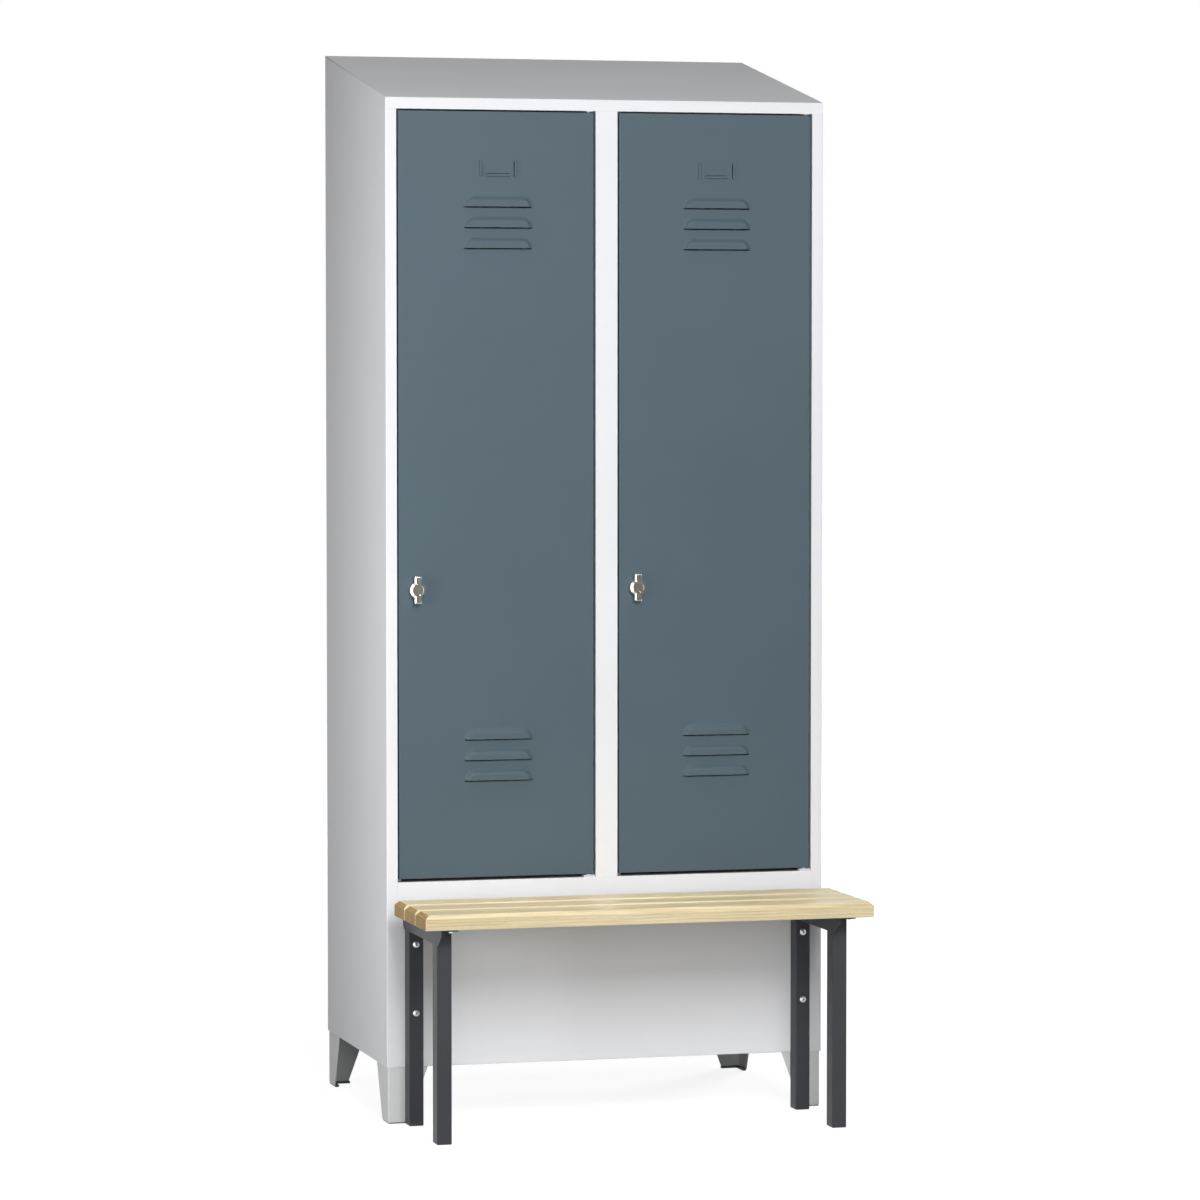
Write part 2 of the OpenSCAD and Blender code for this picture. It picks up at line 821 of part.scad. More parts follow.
// Hinge pins, each held in a door edge by its head
module hinge_pins(bay) {
    color(zinc) translate([pivot_x(bay), pivot_y, 0]) {
        translate([0, 0, sill_z - bush_l])
            cylinder(r = pin_r, h = door_z0 + sheet_t - sill_z + bush_l + eps);
        translate([0, 0, door_z0 - pin_collar_t]) cylinder(d = pin_head_d, h = pin_collar_t);
        translate([0, 0, door_z0 + sheet_t]) cylinder(d = pin_head_d, h = pin_head_t);
        translate([0, 0, door_z1 - sheet_t - eps])
            cylinder(r = pin_r, h = head_z + bush_l - door_z1 + sheet_t);
        translate([0, 0, door_z1 - sheet_t - pin_head_t]) cylinder(d = pin_head_d, h = pin_head_t);
    }
}

// Puts its children at a latch's axis, on the face of the door
module at_latch(bay) {
    translate([bay_x(bay) + latch_x, y_front, latch_z]) children();
}

// Round latch base on the door, with a neck through it
module latch_base(bay) {
    bevel = base_t / 2;
    color(nickel) at_latch(bay) difference() {
        union() {
            rod_y(base_d, -base_t + bevel, 0);
            translate([0, -base_t + bevel, 0]) rotate([90, 0, 0])
                cylinder(d1 = base_d, d2 = base_d - 2 * bevel, h = bevel);
            rod_y(neck_d, -eps, neck_l);
        }
        rod_y(spindle_d + 2 * slip, -base_t - 1, neck_l + 1);
    }
}

// Locknut that clamps the latch base to the door
module latch_locknut(bay) {
    color(zinc) at_latch(bay) difference() {
        translate([0, sheet_t + locknut_t, 0]) rotate([90, 0, 0])
            cylinder(d = locknut_af / cos(30), h = locknut_t, $fn = 6);
        rod_y(neck_d + 2 * slip, sheet_t - 1, sheet_t + locknut_t + 1);
    }
}

// Turning handle: a cap with a bare round field, a grip across it, and the spindle
module latch_handle(bay) {
    foot = -base_t - running;
    color(nickel) at_latch(bay) difference() {
        union() {
            translate([0, foot, 0]) rotate([90, 0, 0]) {
                cylinder(d1 = cap_d, d2 = cap_face_d, h = cap_t);
                linear_extrude(grip_t) round_rect(grip_w, grip_l, grip_round);
            }
            rod_y(spindle_d, foot - eps, cam_y0);
            block([-spindle_sq / 2, cam_y0 - eps, -spindle_sq / 2],
                [spindle_sq / 2, cam_y1, spindle_sq / 2]);
        }
        difference() {
            rod_y(emblem_d, -cap_face - 1, -cap_face + emblem_deep);
            rod_y(emblem_d - 2 * emblem_rim, -cap_face - 2, -cap_face + 2);
        }
        rod_y(cam_screw_d + 2 * slip, cam_y1 - cam_screw_l, cam_y1 + 1);
    }
}

// Cam that turns behind the stop lip; it hangs down while the door is free to open
module latch_cam(bay) {
    color(zinc) at_latch(bay) translate([0, cam_y1, 0]) rotate([90, 0, 0]) linear_extrude(cam_t)
        difference() {
            union() {
                circle(d = cam_w);
                translate([-cam_w / 2, -cam_l]) square([cam_w, cam_l]);
            }
            square(spindle_sq + 2 * slip, center = true);
        }
}

// Screw that holds the cam on the spindle
module cam_screw(bay) {
    color(zinc) at_latch(bay) {
        rod_y(cam_head_d, cam_y1, cam_y1 + cam_head_t);
        rod_y(cam_screw_d, cam_y1 - cam_screw_l + 1, cam_y1 + eps);
    }
}

// The middle of a bench leg along X
function leg_mid(side) = side == left ? -leg_x : leg_x;

// The front face of a bench leg
function leg_face(rear) = rear ? y_front - leg_d : leg_front_y;

// Bench leg: a rectangular tube from its end cap up to the angle iron
module bench_leg(side, rear) {
    y = leg_face(rear);
    color(bench_dark) difference() {
        translate([leg_mid(side), y + leg_d / 2, leg_cap_h]) linear_extrude(leg_top - leg_cap_h)
            difference() {
                round_rect(leg_w, leg_d, leg_round);
                square([leg_w - 2 * leg_wall, leg_d - 2 * leg_wall], center = true);
            }
        if (rear)
            bolt_places() rod_y(bolt_hole_d, -leg_d - 1, 1);
    }
}

// Plastic end cap in the foot of a bench leg
module leg_cap(side, rear) {
    plug = leg_wall + slip;
    color(black_plastic) translate([leg_mid(side), leg_face(rear) + leg_d / 2, 0]) {
        linear_extrude(leg_cap_h) round_rect(leg_w, leg_d, leg_round);
        linear_extrude(leg_cap_h + cap_plug_h)
            square([leg_w - 2 * plug, leg_d - 2 * plug], center = true);
    }
}

// Angle iron along the top of a front and a rear leg, with its upright flange on their left
module seat_bracket(side) {
    x = leg_mid(side) - leg_w / 2 - angle_t;
    y0 = y_front - seat_reach + angle_setback;
    low = seat_low - angle_w;
    color(bench_dark) difference() {
        union() {
            plate_x(x, angle_t, [
                [y0, seat_low],
                [y0, seat_low - angle_nose],
                [y0 + angle_slope, low],
                [y_front - angle_heel, low],
                [y_front, low + angle_heel],
                [y_front, seat_low],
            ]);
            block([x, y0, seat_low - angle_t], [x + angle_w, y_front, seat_low]);
        }
        screw_places(side) cylinder(d = screw_d + 2 * ease, h = 2 * angle_t + 2, center = true);
    }
}

// Front edge of a slat, counted from the front
function slat_y(i) = y_front - seat_reach + i * (slat_w + slat_gap);

// The two screws of a slat, counted from its front edge; the front slat's are ahead of the legs
function screw_y(i) = i == 0
    ? [slat_screw_in, leg_setback - slat_screw_in]
    : [slat_w * slat_screw_share, slat_w * (1 - slat_screw_share)];

// Puts its children at each seat screw, on the underside of the slats
module screw_places(side) {
    for (i = [0 : 2], y = screw_y(i))
        translate([leg_mid(side) + angle_t / 2, slat_y(i) + y, seat_low]) children();
}

// Wooden slat, bevelled all round its top
module slat(i) {
    y = slat_y(i);
    color(wood) difference() {
        intersection() {
            plate_x(-half_w, locker_w, slat_section(y, y + slat_w));
            plate_y(y, slat_w, slat_section(-half_w, half_w));
        }
        for (side = [left, right])
            screw_places(side) cylinder(d = screw_d + 2 * slip, h = 2 * (screw_l + 1), center = true);
    }
}

// A slat's outline between two faces, with its two upper corners bevelled
function slat_section(low, high) = [
    [low, seat_low],
    [high, seat_low],
    [high, seat_z - slat_bevel],
    [high - slat_bevel, seat_z],
    [low + slat_bevel, seat_z],
    [low, seat_z - slat_bevel],
];

// Screws up through the angle irons into the slats
module slat_screws() {
    color(zinc)
        for (side = [left, right])
            screw_places(side) {
                translate([0, 0, -angle_t - screw_head_t]) cylinder(d = screw_head_d, h = screw_head_t);
                translate([0, 0, -angle_t - eps]) cylinder(d = screw_d, h = angle_t + screw_l);
            }
}

// Puts its children at each leg bolt, on the front of the body
module bolt_places() {
    for (side = [left, right], z = [bolt_low_z, bolt_high_z])
        translate([leg_mid(side), y_front, z]) children();
}

// Round-headed bolts through the rear legs into the plinth
module leg_bolts() {
    head_r = (bolt_head_d * bolt_head_d / 4 + bolt_head_t * bolt_head_t) / (2 * bolt_head_t);
    end = sheet_t + washer_t + nut_t + 1;
    color(zinc) bolt_places() difference() {
        union() {
            rod_y(bolt_d, -leg_d - eps, end);
            intersection() {
                translate([0, -leg_d - bolt_head_t + head_r, 0]) sphere(head_r);
                rod_y(bolt_head_d + 1, -leg_d - bolt_head_t - 1, -leg_d);
            }
        }
        translate([0, -leg_d - bolt_head_t / 3, 0]) rotate([90, 0, 0])
            cylinder(d = bolt_socket / cos(30), h = bolt_head_t, $fn = 6);
    }
}

// Nuts and washers of the leg bolts, inside the plinth
module leg_bolt_nuts() {
    color(zinc) bolt_places() difference() {
        union() {
            rod_y(washer_d, sheet_t, sheet_t + washer_t);
            translate([0, sheet_t + washer_t + nut_t, 0]) rotate([90, 0, 0])
                cylinder(d = nut_af / cos(30), h = nut_t + eps, $fn = 6);
        }
        rod_y(bolt_d + 2 * slip, 0, sheet_t + washer_t + nut_t + 1);
    }
}

side_panel_left();
side_panel_right();
back_panel();
roof_panel();
centre_post();
partition();
floor_pan();
plinth_panel();
foot(left, false);  // foot_front_left
foot(right, false);  // foot_front_right
foot(left, true);  // foot_rear_left
foot(right, true);  // foot_rear_right
foot_glides();
hat_shelf(left);  // hat_shelf_left
hat_shelf(right);  // hat_shelf_right
coat_rail(left);  // coat_rail_left
coat_rail(right);  // coat_rail_right
rail_sockets();
hook(left, 1);  // hook_left_1
hook(left, 2);  // hook_left_2
hook(left, 3);  // hook_left_3
hook(right, 1);  // hook_right_1
hook(right, 2);  // hook_right_2
hook(right, 3);  // hook_right_3
door_buffers();
hinge_bushes_lower();
hinge_bushes_upper();
door(left);  // door_left
door(right);  // door_right
door_stiffener(left);  // door_stiffener_left
door_stiffener(right);  // door_stiffener_right
hinge_pins(left);  // hinge_pins_left
hinge_pins(right);  // hinge_pins_right
latch_base(left);  // latch_base_left
latch_base(right);  // latch_base_right
latch_locknut(left);  // latch_locknut_left
latch_locknut(right);  // latch_locknut_right
latch_handle(left);  // latch_handle_left
latch_handle(right);  // latch_handle_right
latch_cam(left);  // latch_cam_left
latch_cam(right);  // latch_cam_right
cam_screw(left);  // cam_screw_left
cam_screw(right);  // cam_screw_right
bench_leg(left, false);  // bench_leg_front_left
bench_leg(right, false);  // bench_leg_front_right
bench_leg(left, true);  // bench_leg_rear_left
bench_leg(right, true);  // bench_leg_rear_right
leg_cap(left, false);  // leg_cap_front_left
leg_cap(right, false);  // leg_cap_front_right
leg_cap(left, true);  // leg_cap_rear_left
leg_cap(right, true);  // leg_cap_rear_right
seat_bracket(left);  // seat_bracket_left
seat_bracket(right);  // seat_bracket_right
slat(0);  // seat_slat_front
slat(1);  // seat_slat_middle
slat(2);  // seat_slat_rear
slat_screws();
leg_bolts();
leg_bolt_nuts();
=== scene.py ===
# %% [markdown]
# # A clothes locker with a bench
#
# This is a steel locker for two people: a welded body with a sloping roof, two blue-grey doors and
# a slatted bench bolted to its front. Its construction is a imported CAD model, which Blender loads
# as a fixed frame. The lesson gives that frame its finishes, and replaces the parts whose looks
# depend on soft edges and small forms: the folded sheets, the slats, the feet, the bench frame and
# its caps, the latches and the bolts.

import json
import math

import bmesh
import bpy
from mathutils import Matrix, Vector

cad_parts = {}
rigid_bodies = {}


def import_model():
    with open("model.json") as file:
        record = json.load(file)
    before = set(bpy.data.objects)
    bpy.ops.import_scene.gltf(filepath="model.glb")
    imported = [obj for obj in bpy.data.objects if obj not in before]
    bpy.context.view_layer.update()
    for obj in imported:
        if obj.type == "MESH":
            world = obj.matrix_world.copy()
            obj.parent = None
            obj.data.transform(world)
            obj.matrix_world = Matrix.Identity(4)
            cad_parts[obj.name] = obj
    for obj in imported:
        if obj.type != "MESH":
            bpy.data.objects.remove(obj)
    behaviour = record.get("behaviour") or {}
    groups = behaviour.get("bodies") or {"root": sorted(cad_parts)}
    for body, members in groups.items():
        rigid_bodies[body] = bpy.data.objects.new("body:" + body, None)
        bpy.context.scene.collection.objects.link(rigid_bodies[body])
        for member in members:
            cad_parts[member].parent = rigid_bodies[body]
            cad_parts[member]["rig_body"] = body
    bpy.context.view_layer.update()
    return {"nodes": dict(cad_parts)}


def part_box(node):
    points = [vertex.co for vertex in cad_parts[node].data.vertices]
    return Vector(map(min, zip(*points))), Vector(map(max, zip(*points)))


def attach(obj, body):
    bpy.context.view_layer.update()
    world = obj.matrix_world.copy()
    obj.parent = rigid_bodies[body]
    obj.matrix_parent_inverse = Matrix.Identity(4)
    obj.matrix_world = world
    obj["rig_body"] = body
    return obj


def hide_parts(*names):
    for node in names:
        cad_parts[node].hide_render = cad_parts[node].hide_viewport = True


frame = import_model()
nodes = frame["nodes"]

# %% [markdown]
# ## The camera
#
# A long lens stands about eight metres away, a little left of the locker and at chest height, so
# the uprights stay nearly parallel. The place was found by fitting a camera to the corners of the
# body, the doors and the bench, which is surer than moving it by eye.

# %% Place the camera
bpy.ops.object.camera_add(
    location=(-2.278, -8.419, 1.353),
    rotation=(math.radians(90 - 2.888), 0, math.radians(-15.235)),
)
camera = bpy.context.object
camera.name = "camera"
camera.data.sensor_width = 36
camera.data.lens = 146.32
bpy.context.scene.camera = camera
print("camera:", camera.data.lens, "mm")

# %% [markdown]
# ## Colours and nodes
#
# Colours are easiest to read as hex values, but a shader wants linear light, so one function turns
# them. A second one adds a node with its options, its values and its links, which keeps the
# materials below short. Sockets without a name of their own go by number: those of a Map Range are
# 0 for its value, 1 and 2 for the range that it comes from, and 3 and 4 for the one it goes to.

# %% Two helpers for materials
def colour(hex_value):
    """A colour such as "#c0ffee" in linear light."""
    levels = [int(hex_value[i:i + 2], 16) / 255 for i in (1, 3, 5)]
    return [s / 12.92 if s <= 0.04045 else ((s + 0.055) / 1.055) ** 2.4 for s in levels] + [1]


def add(tree, kind, sockets=(), stops=(), **options):
    """Adds one node. `sockets` maps a socket to a value or to the output that feeds it."""
    node = tree.nodes.new("ShaderNode" + kind)
    for option, value in options.items():
        setattr(node, option, value)
    for socket, value in dict(sockets).items():
        if isinstance(value, bpy.types.NodeSocket):
            tree.links.new(value, node.inputs[socket])
        else:
            node.inputs[socket].default_value = value
    for i, (place, shade) in enumerate(stops):
        steps = node.color_ramp.elements
        step = steps[i] if i < len(steps) else steps.new(place)
        step.position = place
        step.color = colour(shade)
    return node


def new_material(name, **surface):
    """A material with one Principled surface, whose plain values are set here."""
    material = bpy.data.materials.new(name)
    material.use_nodes = True
    tree = material.node_tree
    shader = tree.nodes["Principled BSDF"]
    for socket, value in surface.items():
        shader.inputs[socket.replace("_", " ")].default_value = value
    place = add(tree, "TexCoord").outputs["Object"]
    return material, tree, shader, place


print("white is", colour("#ffffff"))

# %% [markdown]
# ## The studio
#
# The photograph was taken on white. A soft box stands high in front and puts the seat's shadow on
# the panel behind it. Two weaker ones stand at eye level, in front and far to the left, and a tall
# strip is close on the left, so the side is brightest at its front edge and every left corner
# carries a thin highlight. A narrow one hangs over the bench for the seat, a faint one lights the
# roof, and one behind on the right lights the two sides that the photograph doesn't show. It
# stands below the roof's slope, so it doesn't reach the sides that it does. The studio is darker
# overhead, which is what the upward faces of the glossy doors' louvres show.
# The floor and the background are white because the camera sees them so, and not because more
# light falls on the locker: the Light Path node tells the camera's rays and the reflections from
# the others. The floor glows a little less near the locker, which leaves room for its shadow.

# %% Floor
def seen_directly(tree):
    """1 where a ray comes from the camera or from a glossy or clear surface, and 0 elsewhere."""
    rays = add(tree, "LightPath").outputs
    shiny = add(tree, "Math", {0: rays["Is Glossy Ray"], 1: rays["Is Transmission Ray"]},
                operation="MAXIMUM")
    seen = add(tree, "Math", {0: rays["Is Camera Ray"], 1: shiny.outputs[0]}, operation="MAXIMUM")
    return seen.outputs[0]


GLOW_NEAR = 0.88
GLOW_GROWS_FROM, GLOW_FULL_AT = 0.8, 2.4
bpy.ops.mesh.primitive_plane_add(size=60, location=(0, 0, -0.0005))
floor = bpy.context.object
floor.name = "studio_floor"
floor_paper, tree, shader, place = new_material(
    "white_studio_paper", Base_Color=colour("#969696"), Roughness=1.0, Specular_IOR_Level=0.0,
    Emission_Color=(1, 1, 1, 1))
away = add(tree, "VectorMath", {0: place}, operation="LENGTH")
glow = add(tree, "MapRange", {
    0: away.outputs["Value"], 1: GLOW_GROWS_FROM, 2: GLOW_FULL_AT, 3: GLOW_NEAR, 4: 1.0})
glow = add(tree, "Math", {0: seen_directly(tree), 1: glow.outputs[0]}, operation="MULTIPLY")
tree.links.new(glow.outputs[0], shader.inputs["Emission Strength"])
floor.data.materials.append(floor_paper)
print("floor:", floor.name)

# %% World
AMBIENT = 0.02
OVERHEAD = 0.25
DIMS_FROM, DIMS_TO = 0.45, 0.85
world = bpy.data.worlds.new("white_studio")
world.use_nodes = True
bpy.context.scene.world = world
tree = world.node_tree
strength = add(tree, "Math", {0: seen_directly(tree), 1: 1 - AMBIENT, 2: AMBIENT},
               operation="MULTIPLY_ADD")
upward = add(tree, "SeparateXYZ", {0: add(tree, "TexCoord").outputs["Generated"]})
dimming = add(tree, "MapRange", {
    0: upward.outputs["Z"], 1: DIMS_FROM, 2: DIMS_TO, 3: 1.0, 4: OVERHEAD})
strength = add(tree, "Math", {0: strength.outputs[0], 1: dimming.outputs[0]}, operation="MULTIPLY")
tree.links.new(strength.outputs[0], tree.nodes["Background"].inputs["Strength"])
tree.nodes["Background"].inputs["Color"].default_value = (1, 1, 1, 1)
bpy.context.scene.view_settings.view_transform = "Standard"
print("ambient level:", AMBIENT, "overhead:", OVERHEAD)

# %% Lamps
def add_lamp(name, location, aim, width, height, level, spread=180):
    """A soft box; `level` is what it gives a white face at its aim that is turned to it."""
    away = Vector(location) - Vector(aim)
    bpy.ops.object.light_add(type="AREA", location=location)
    lamp = bpy.context.object
    lamp.name = name
    lamp.rotation_euler = away.to_track_quat("Z", "Y").to_euler()
    lamp.data.shape = "RECTANGLE"
    lamp.data.size = width
    lamp.data.size_y = height
    lamp.data.spread = math.radians(spread)
    lamp.data.energy = level * math.pi ** 2 * away.length_squared
    return lamp


lamps = [
    add_lamp("high_softbox", (0.0, -5.6, 3.6), (0, -0.1, 0.9), 2.2, 2.2, 0.615),
    add_lamp("front_softbox", (-0.8, -6.5, 1.4), (0, -0.1, 0.9), 2.2, 2.2, 0.21),
    add_lamp("left_softbox", (-6.0, -3.6, 1.0), (0, -0.1, 0.9), 2.0, 2.0, 0.17),
    add_lamp("left_strip", (-1.0, -0.28, 0.80), (-0.4, -0.1, 0.80), 0.25, 2.6, 1.30),
    add_lamp("seat_softbox", (-0.14, -0.55, 3.0), (-0.14, -0.3, 0.4), 0.9, 0.4, 0.0098, 20),
    add_lamp("overhead_softbox", (0, -1.6, 4.6), (0, -0.1, 0.9), 3.0, 3.0, 0.05),
    add_lamp("back_softbox", (4.6, 5.0, 1.4), (0.2, 0.2, 0.9), 2.2, 2.2, 0.85),
]
print("lamps:", [lamp.name for lamp in lamps])

# %% [markdown]
# ## Powder coat
#
# The body, the doors and the bench frame are powder coated: grains of polyester are sprayed on and
# baked until they run together. The eye sees an even colour with a satin gloss, and close by a fine
# orange peel, where the grains didn't quite level. A flat colour would look like card, so the coat
# gets a bump for the peel, and a slow cloud of noise that moves its colour and gloss a little. The
# real peel is about 2 mm from crest to crest, too fine to show at this distance, so it is drawn at
# 4 mm. The body's coat is the dullest, the doors' the glossiest.

# %% Powder coat
PEEL_MM = 4
CLOUD_MM = 260
CLOUD_LOW, CLOUD_HIGH = 0.3, 0.7
FINE_BUMP = 0.0002


def powder_coat(name, light, dark, roughness, peel, sheen):
    """A coat whose colour runs from dark to light; `peel` is the strength of its bump."""
    material, tree, shader, place = new_material(name, Specular_IOR_Level=sheen)
    cloud = add(tree, "TexNoise", {
        "Vector": place, "Scale": 1000 / CLOUD_MM, "Detail": 3.0, "Roughness": 0.6})
    tone = add(tree, "ValToRGB", {0: cloud.outputs[0]},
               stops=[(CLOUD_LOW, dark), (CLOUD_HIGH, light)])
    gloss = add(tree, "MapRange", {
        0: cloud.outputs[0], 1: CLOUD_LOW, 2: CLOUD_HIGH, 3: roughness - 0.03, 4: roughness + 0.04})
    grains = add(tree, "TexNoise", {"Vector": place, "Scale": 1000 / PEEL_MM, "Detail": 1.0})
    bump = add(tree, "Bump", {"Height": grains.outputs[0], "Strength": peel, "Distance": FINE_BUMP})
    tree.links.new(tone.outputs[0], shader.inputs["Base Color"])
    tree.links.new(gloss.outputs[0], shader.inputs["Roughness"])
    tree.links.new(bump.outputs[0], shader.inputs["Normal"])
    return material


body_coat = powder_coat("light_grey_powder_coat", "#edeef1", "#eaebee", 0.42, 0.10, 0.02)
# The feet have the body's grey made darker: a painted shade for the seat's shadow on their fronts.
foot_coat_with_painted_shade = powder_coat("foot_powder_coat", "#dfe1e1", "#dadcdc", 0.45, 0.12, 0.10)
inside_coat = powder_coat("inside_powder_coat", "#e9eaec", "#e5e6e8", 0.48, 0.10, 0.10)
door_coat = powder_coat("blue_grey_powder_coat", "#4e5e68", "#4a5a63", 0.56, 0.12, 0.27)
bench_coat = powder_coat("anthracite_powder_coat", "#45474c", "#404246", 0.40, 0.14, 0.12)
print("powder coats:", [m.name for m in (body_coat, foot_coat_with_painted_shade, inside_coat, door_coat, bench_coat)])

# %% [markdown]
# ## Beech
#
# The slats are planed beech under a clear satin lacquer. Beech is pale and a little pink, with
# fine wavy lines where the year rings come to the surface, and short dark flecks along the grain.
# Its ends are darker, because the cut pores drink the lacquer, and show the rings as arcs. The
# rings are drawn as what they are, tubes about the tree's middle that the saw has cut through, so
# the lines agree on every face. Noise that is drawn out along the grain gives the fibres, the
# flecks and the broad paler and darker bands. A lacquer is a second clear surface on the wood,
# which is the coat of the Principled shader.

# %% Beech
RING_MM = 5.0
SLAT_PITCH = 0.0825
SEAT_FRONT = -0.4
PITH = (0, 0.30, -0.20)
SWAY = 0.022
# How often each pattern repeats in a metre, along the grain and across it both ways
SWAYS, FIBRES, BANDS = (2.2, 9.0, 9.0), (9.0, 420.0, 420.0), (2.5, 26.0, 26.0)
FLECKS = (1000 / 9.0, 900.0, 900.0)


def beech_rings(tree, place):
    """How far into a ring each point lies, from 0 to 1, with another tree for each slat.

    The place that each slat has in its own tree is given too."""
    split = add(tree, "SeparateXYZ", {0: place})
    row = add(tree, "Math", {0: split.outputs["Y"], 1: -SEAT_FRONT, 2: 0}, operation="ADD")
    row = add(tree, "Math", {0: row.outputs[0], 1: SLAT_PITCH}, operation="DIVIDE")
    row = add(tree, "Math", {0: row.outputs[0]}, operation="FLOOR")
    luck = add(tree, "TexWhiteNoise", {"W": row.outputs[0]}, noise_dimensions="1D")
    shift = add(tree, "VectorMath", {0: luck.outputs["Color"], 1: (3.0, 0.16, 0.09)},
                operation="MULTIPLY")
    moved = add(tree, "VectorMath", {0: place, 1: shift.outputs[0]}, operation="ADD")
    bend = add(tree, "Mapping", {"Vector": moved.outputs[0], "Scale": SWAYS})
    wander = add(tree, "TexNoise", {
        "Vector": bend.outputs[0], "Scale": 1.0, "Detail": 3.0, "Roughness": 0.55})
    sway = add(tree, "VectorMath", {0: wander.outputs["Color"], "Scale": SWAY}, operation="SCALE")
    bent = add(tree, "VectorMath", {0: moved.outputs[0], 1: sway.outputs[0]}, operation="ADD")
    pith = add(tree, "Mapping", {
        "Vector": bent.outputs[0], "Location": PITH, "Scale": (0.03, 1.0, 1.0)})
    radius = add(tree, "VectorMath", {0: pith.outputs[0]}, operation="LENGTH")
    count = add(tree, "Math", {0: radius.outputs["Value"], 1: 1000 / RING_MM}, operation="MULTIPLY")
    return add(tree, "Math", {0: count.outputs[0]}, operation="FRACT").outputs[0], moved.outputs[0]


def beech(name, tones, fleck, roughness, lacquer):
    """Beech with three tones from the start of a ring to its end."""
    material, tree, shader, place = new_material(
        name, Roughness=roughness, Specular_IOR_Level=0.2, Coat_Weight=lacquer, Coat_Roughness=0.3)
    ring, moved = beech_rings(tree, place)
    tone = add(tree, "ValToRGB", {0: ring}, stops=[
        (0.0, tones[0]), (0.55, tones[1]), (0.9, tones[2]), (1.0, tones[0])])
    long_grain = add(tree, "Mapping", {"Vector": moved, "Scale": FIBRES})
    fibre = add(tree, "TexNoise", {
        "Vector": long_grain.outputs[0], "Scale": 1.0, "Detail": 4.0, "Roughness": 0.65})
    streak = add(tree, "ValToRGB", {0: fibre.outputs[0]},
                 stops=[(0.3, "#e4e2de"), (0.62, "#ffffff")])
    mixed = add(tree, "MixRGB", {0: 1.0, 1: tone.outputs[0], 2: streak.outputs[0]},
                blend_type="MULTIPLY")
    flecks = add(tree, "Mapping", {"Vector": moved, "Scale": FLECKS})
    speck = add(tree, "TexNoise", {"Vector": flecks.outputs[0], "Scale": 1.0, "Detail": 1.0})
    spots = add(tree, "MapRange", {0: speck.outputs[0], 1: 0.66, 2: 0.74, 3: 0.0, 4: 0.6})
    flecked = add(tree, "MixRGB", {0: spots.outputs[0], 1: mixed.outputs[0], 2: colour(fleck)})
    broad = add(tree, "Mapping", {"Vector": moved, "Scale": BANDS})
    patch = add(tree, "TexNoise", {"Vector": broad.outputs[0], "Scale": 1.0, "Detail": 2.0})
    shade = add(tree, "ValToRGB", {0: patch.outputs[0]},
                stops=[(0.35, "#f4efe8"), (0.65, "#ffffff")])
    warm = add(tree, "MixRGB", {0: 1.0, 1: flecked.outputs[0], 2: shade.outputs[0]},
               blend_type="MULTIPLY")
    bump = add(tree, "Bump", {"Height": fibre.outputs[0], "Strength": 0.12, "Distance": 0.0003})
    tree.links.new(warm.outputs[0], shader.inputs["Base Color"])
    tree.links.new(bump.outputs[0], shader.inputs["Normal"])
    return material


beech_face = beech("lacquered_beech", ["#f4e7c4", "#eee0b8", "#e3d0a3"], "#cba983", 0.42, 0.25)
beech_end = beech("beech_end_grain", ["#bb9f68", "#ab8f5b", "#8e7244"], "#5f4625", 0.6, 0.0)
print("wood:", beech_face.name, beech_end.name)

# %% [markdown]
# ## Metals and plastics
#
# The latches are zinc castings under bright nickel, smooth but never quite flat. Their faces get a
# darker, brownish nickel beside the bright flanks, a painted dark reflection of the studio in
# front.
# Screws, nuts and rails have plain zinc plate, which is duller and slightly cloudy; inside a bolt's
# socket it is painted darker, a painted shade for the recess. Hooks, caps and glides are moulded
# black polyethylene with a matt, faintly pebbled skin, the hinge bushes light grey acetal, and the
# door buffers black rubber.

# %% Plated metals
def plated(name, light, dark, roughness, cloud_mm):
    """A plating whose colour and gloss drift in clouds of the given size."""
    material, tree, shader, place = new_material(name, Metallic=1.0, Roughness=roughness)
    cloud = add(tree, "TexNoise", {"Vector": place, "Scale": 1000 / cloud_mm, "Detail": 3.0})
    tone = add(tree, "ValToRGB", {0: cloud.outputs[0]},
               stops=[(CLOUD_LOW, dark), (CLOUD_HIGH, light)])
    gloss = add(tree, "MapRange", {
        0: cloud.outputs[0], 1: CLOUD_LOW, 2: CLOUD_HIGH, 3: roughness - 0.05, 4: roughness + 0.07})
    bump = add(tree, "Bump", {"Height": cloud.outputs[0], "Strength": 0.08, "Distance": FINE_BUMP})
    tree.links.new(tone.outputs[0], shader.inputs["Base Color"])
    tree.links.new(gloss.outputs[0], shader.inputs["Roughness"])
    tree.links.new(bump.outputs[0], shader.inputs["Normal"])
    return material


nickel = plated("bright_nickel_plate", "#e2e2e0", "#d6d6d3", 0.20, 6)
# The latch faces' darker nickel is a painted dark reflection of the studio in front.
dark_reflection_nickel = plated("nickel_face_painted_dark", "#6e6a63", "#403d38", 0.38, 2)
zinc = plated("dull_zinc_plate", "#d2d5d8", "#bcc0c4", 0.36, 9)
# The sockets' darker zinc is a painted shade for the recess.
socket_shade_zinc = plated("zinc_painted_dark_in_socket", "#85888b", "#75787b", 0.50, 3)
print("metals:", nickel.name, dark_reflection_nickel.name, zinc.name, socket_shade_zinc.name)


# %% Moulded plastics
def moulded(name, light, dark, roughness, pebble_mm):
    """A moulded skin with pebbles of the given size."""
    material, tree, shader, place = new_material(name, Roughness=roughness)
    pebbles = add(tree, "TexVoronoi", {"Vector": place, "Scale": 1000 / pebble_mm})
    tone = add(tree, "ValToRGB", {0: pebbles.outputs[0]}, stops=[(0.0, dark), (0.7, light)])
    height = pebbles.outputs[0]
    bump = add(tree, "Bump", {"Height": height, "Strength": 0.15, "Distance": FINE_BUMP})
    tree.links.new(tone.outputs[0], shader.inputs["Base Color"])
    tree.links.new(bump.outputs[0], shader.inputs["Normal"])
    return material


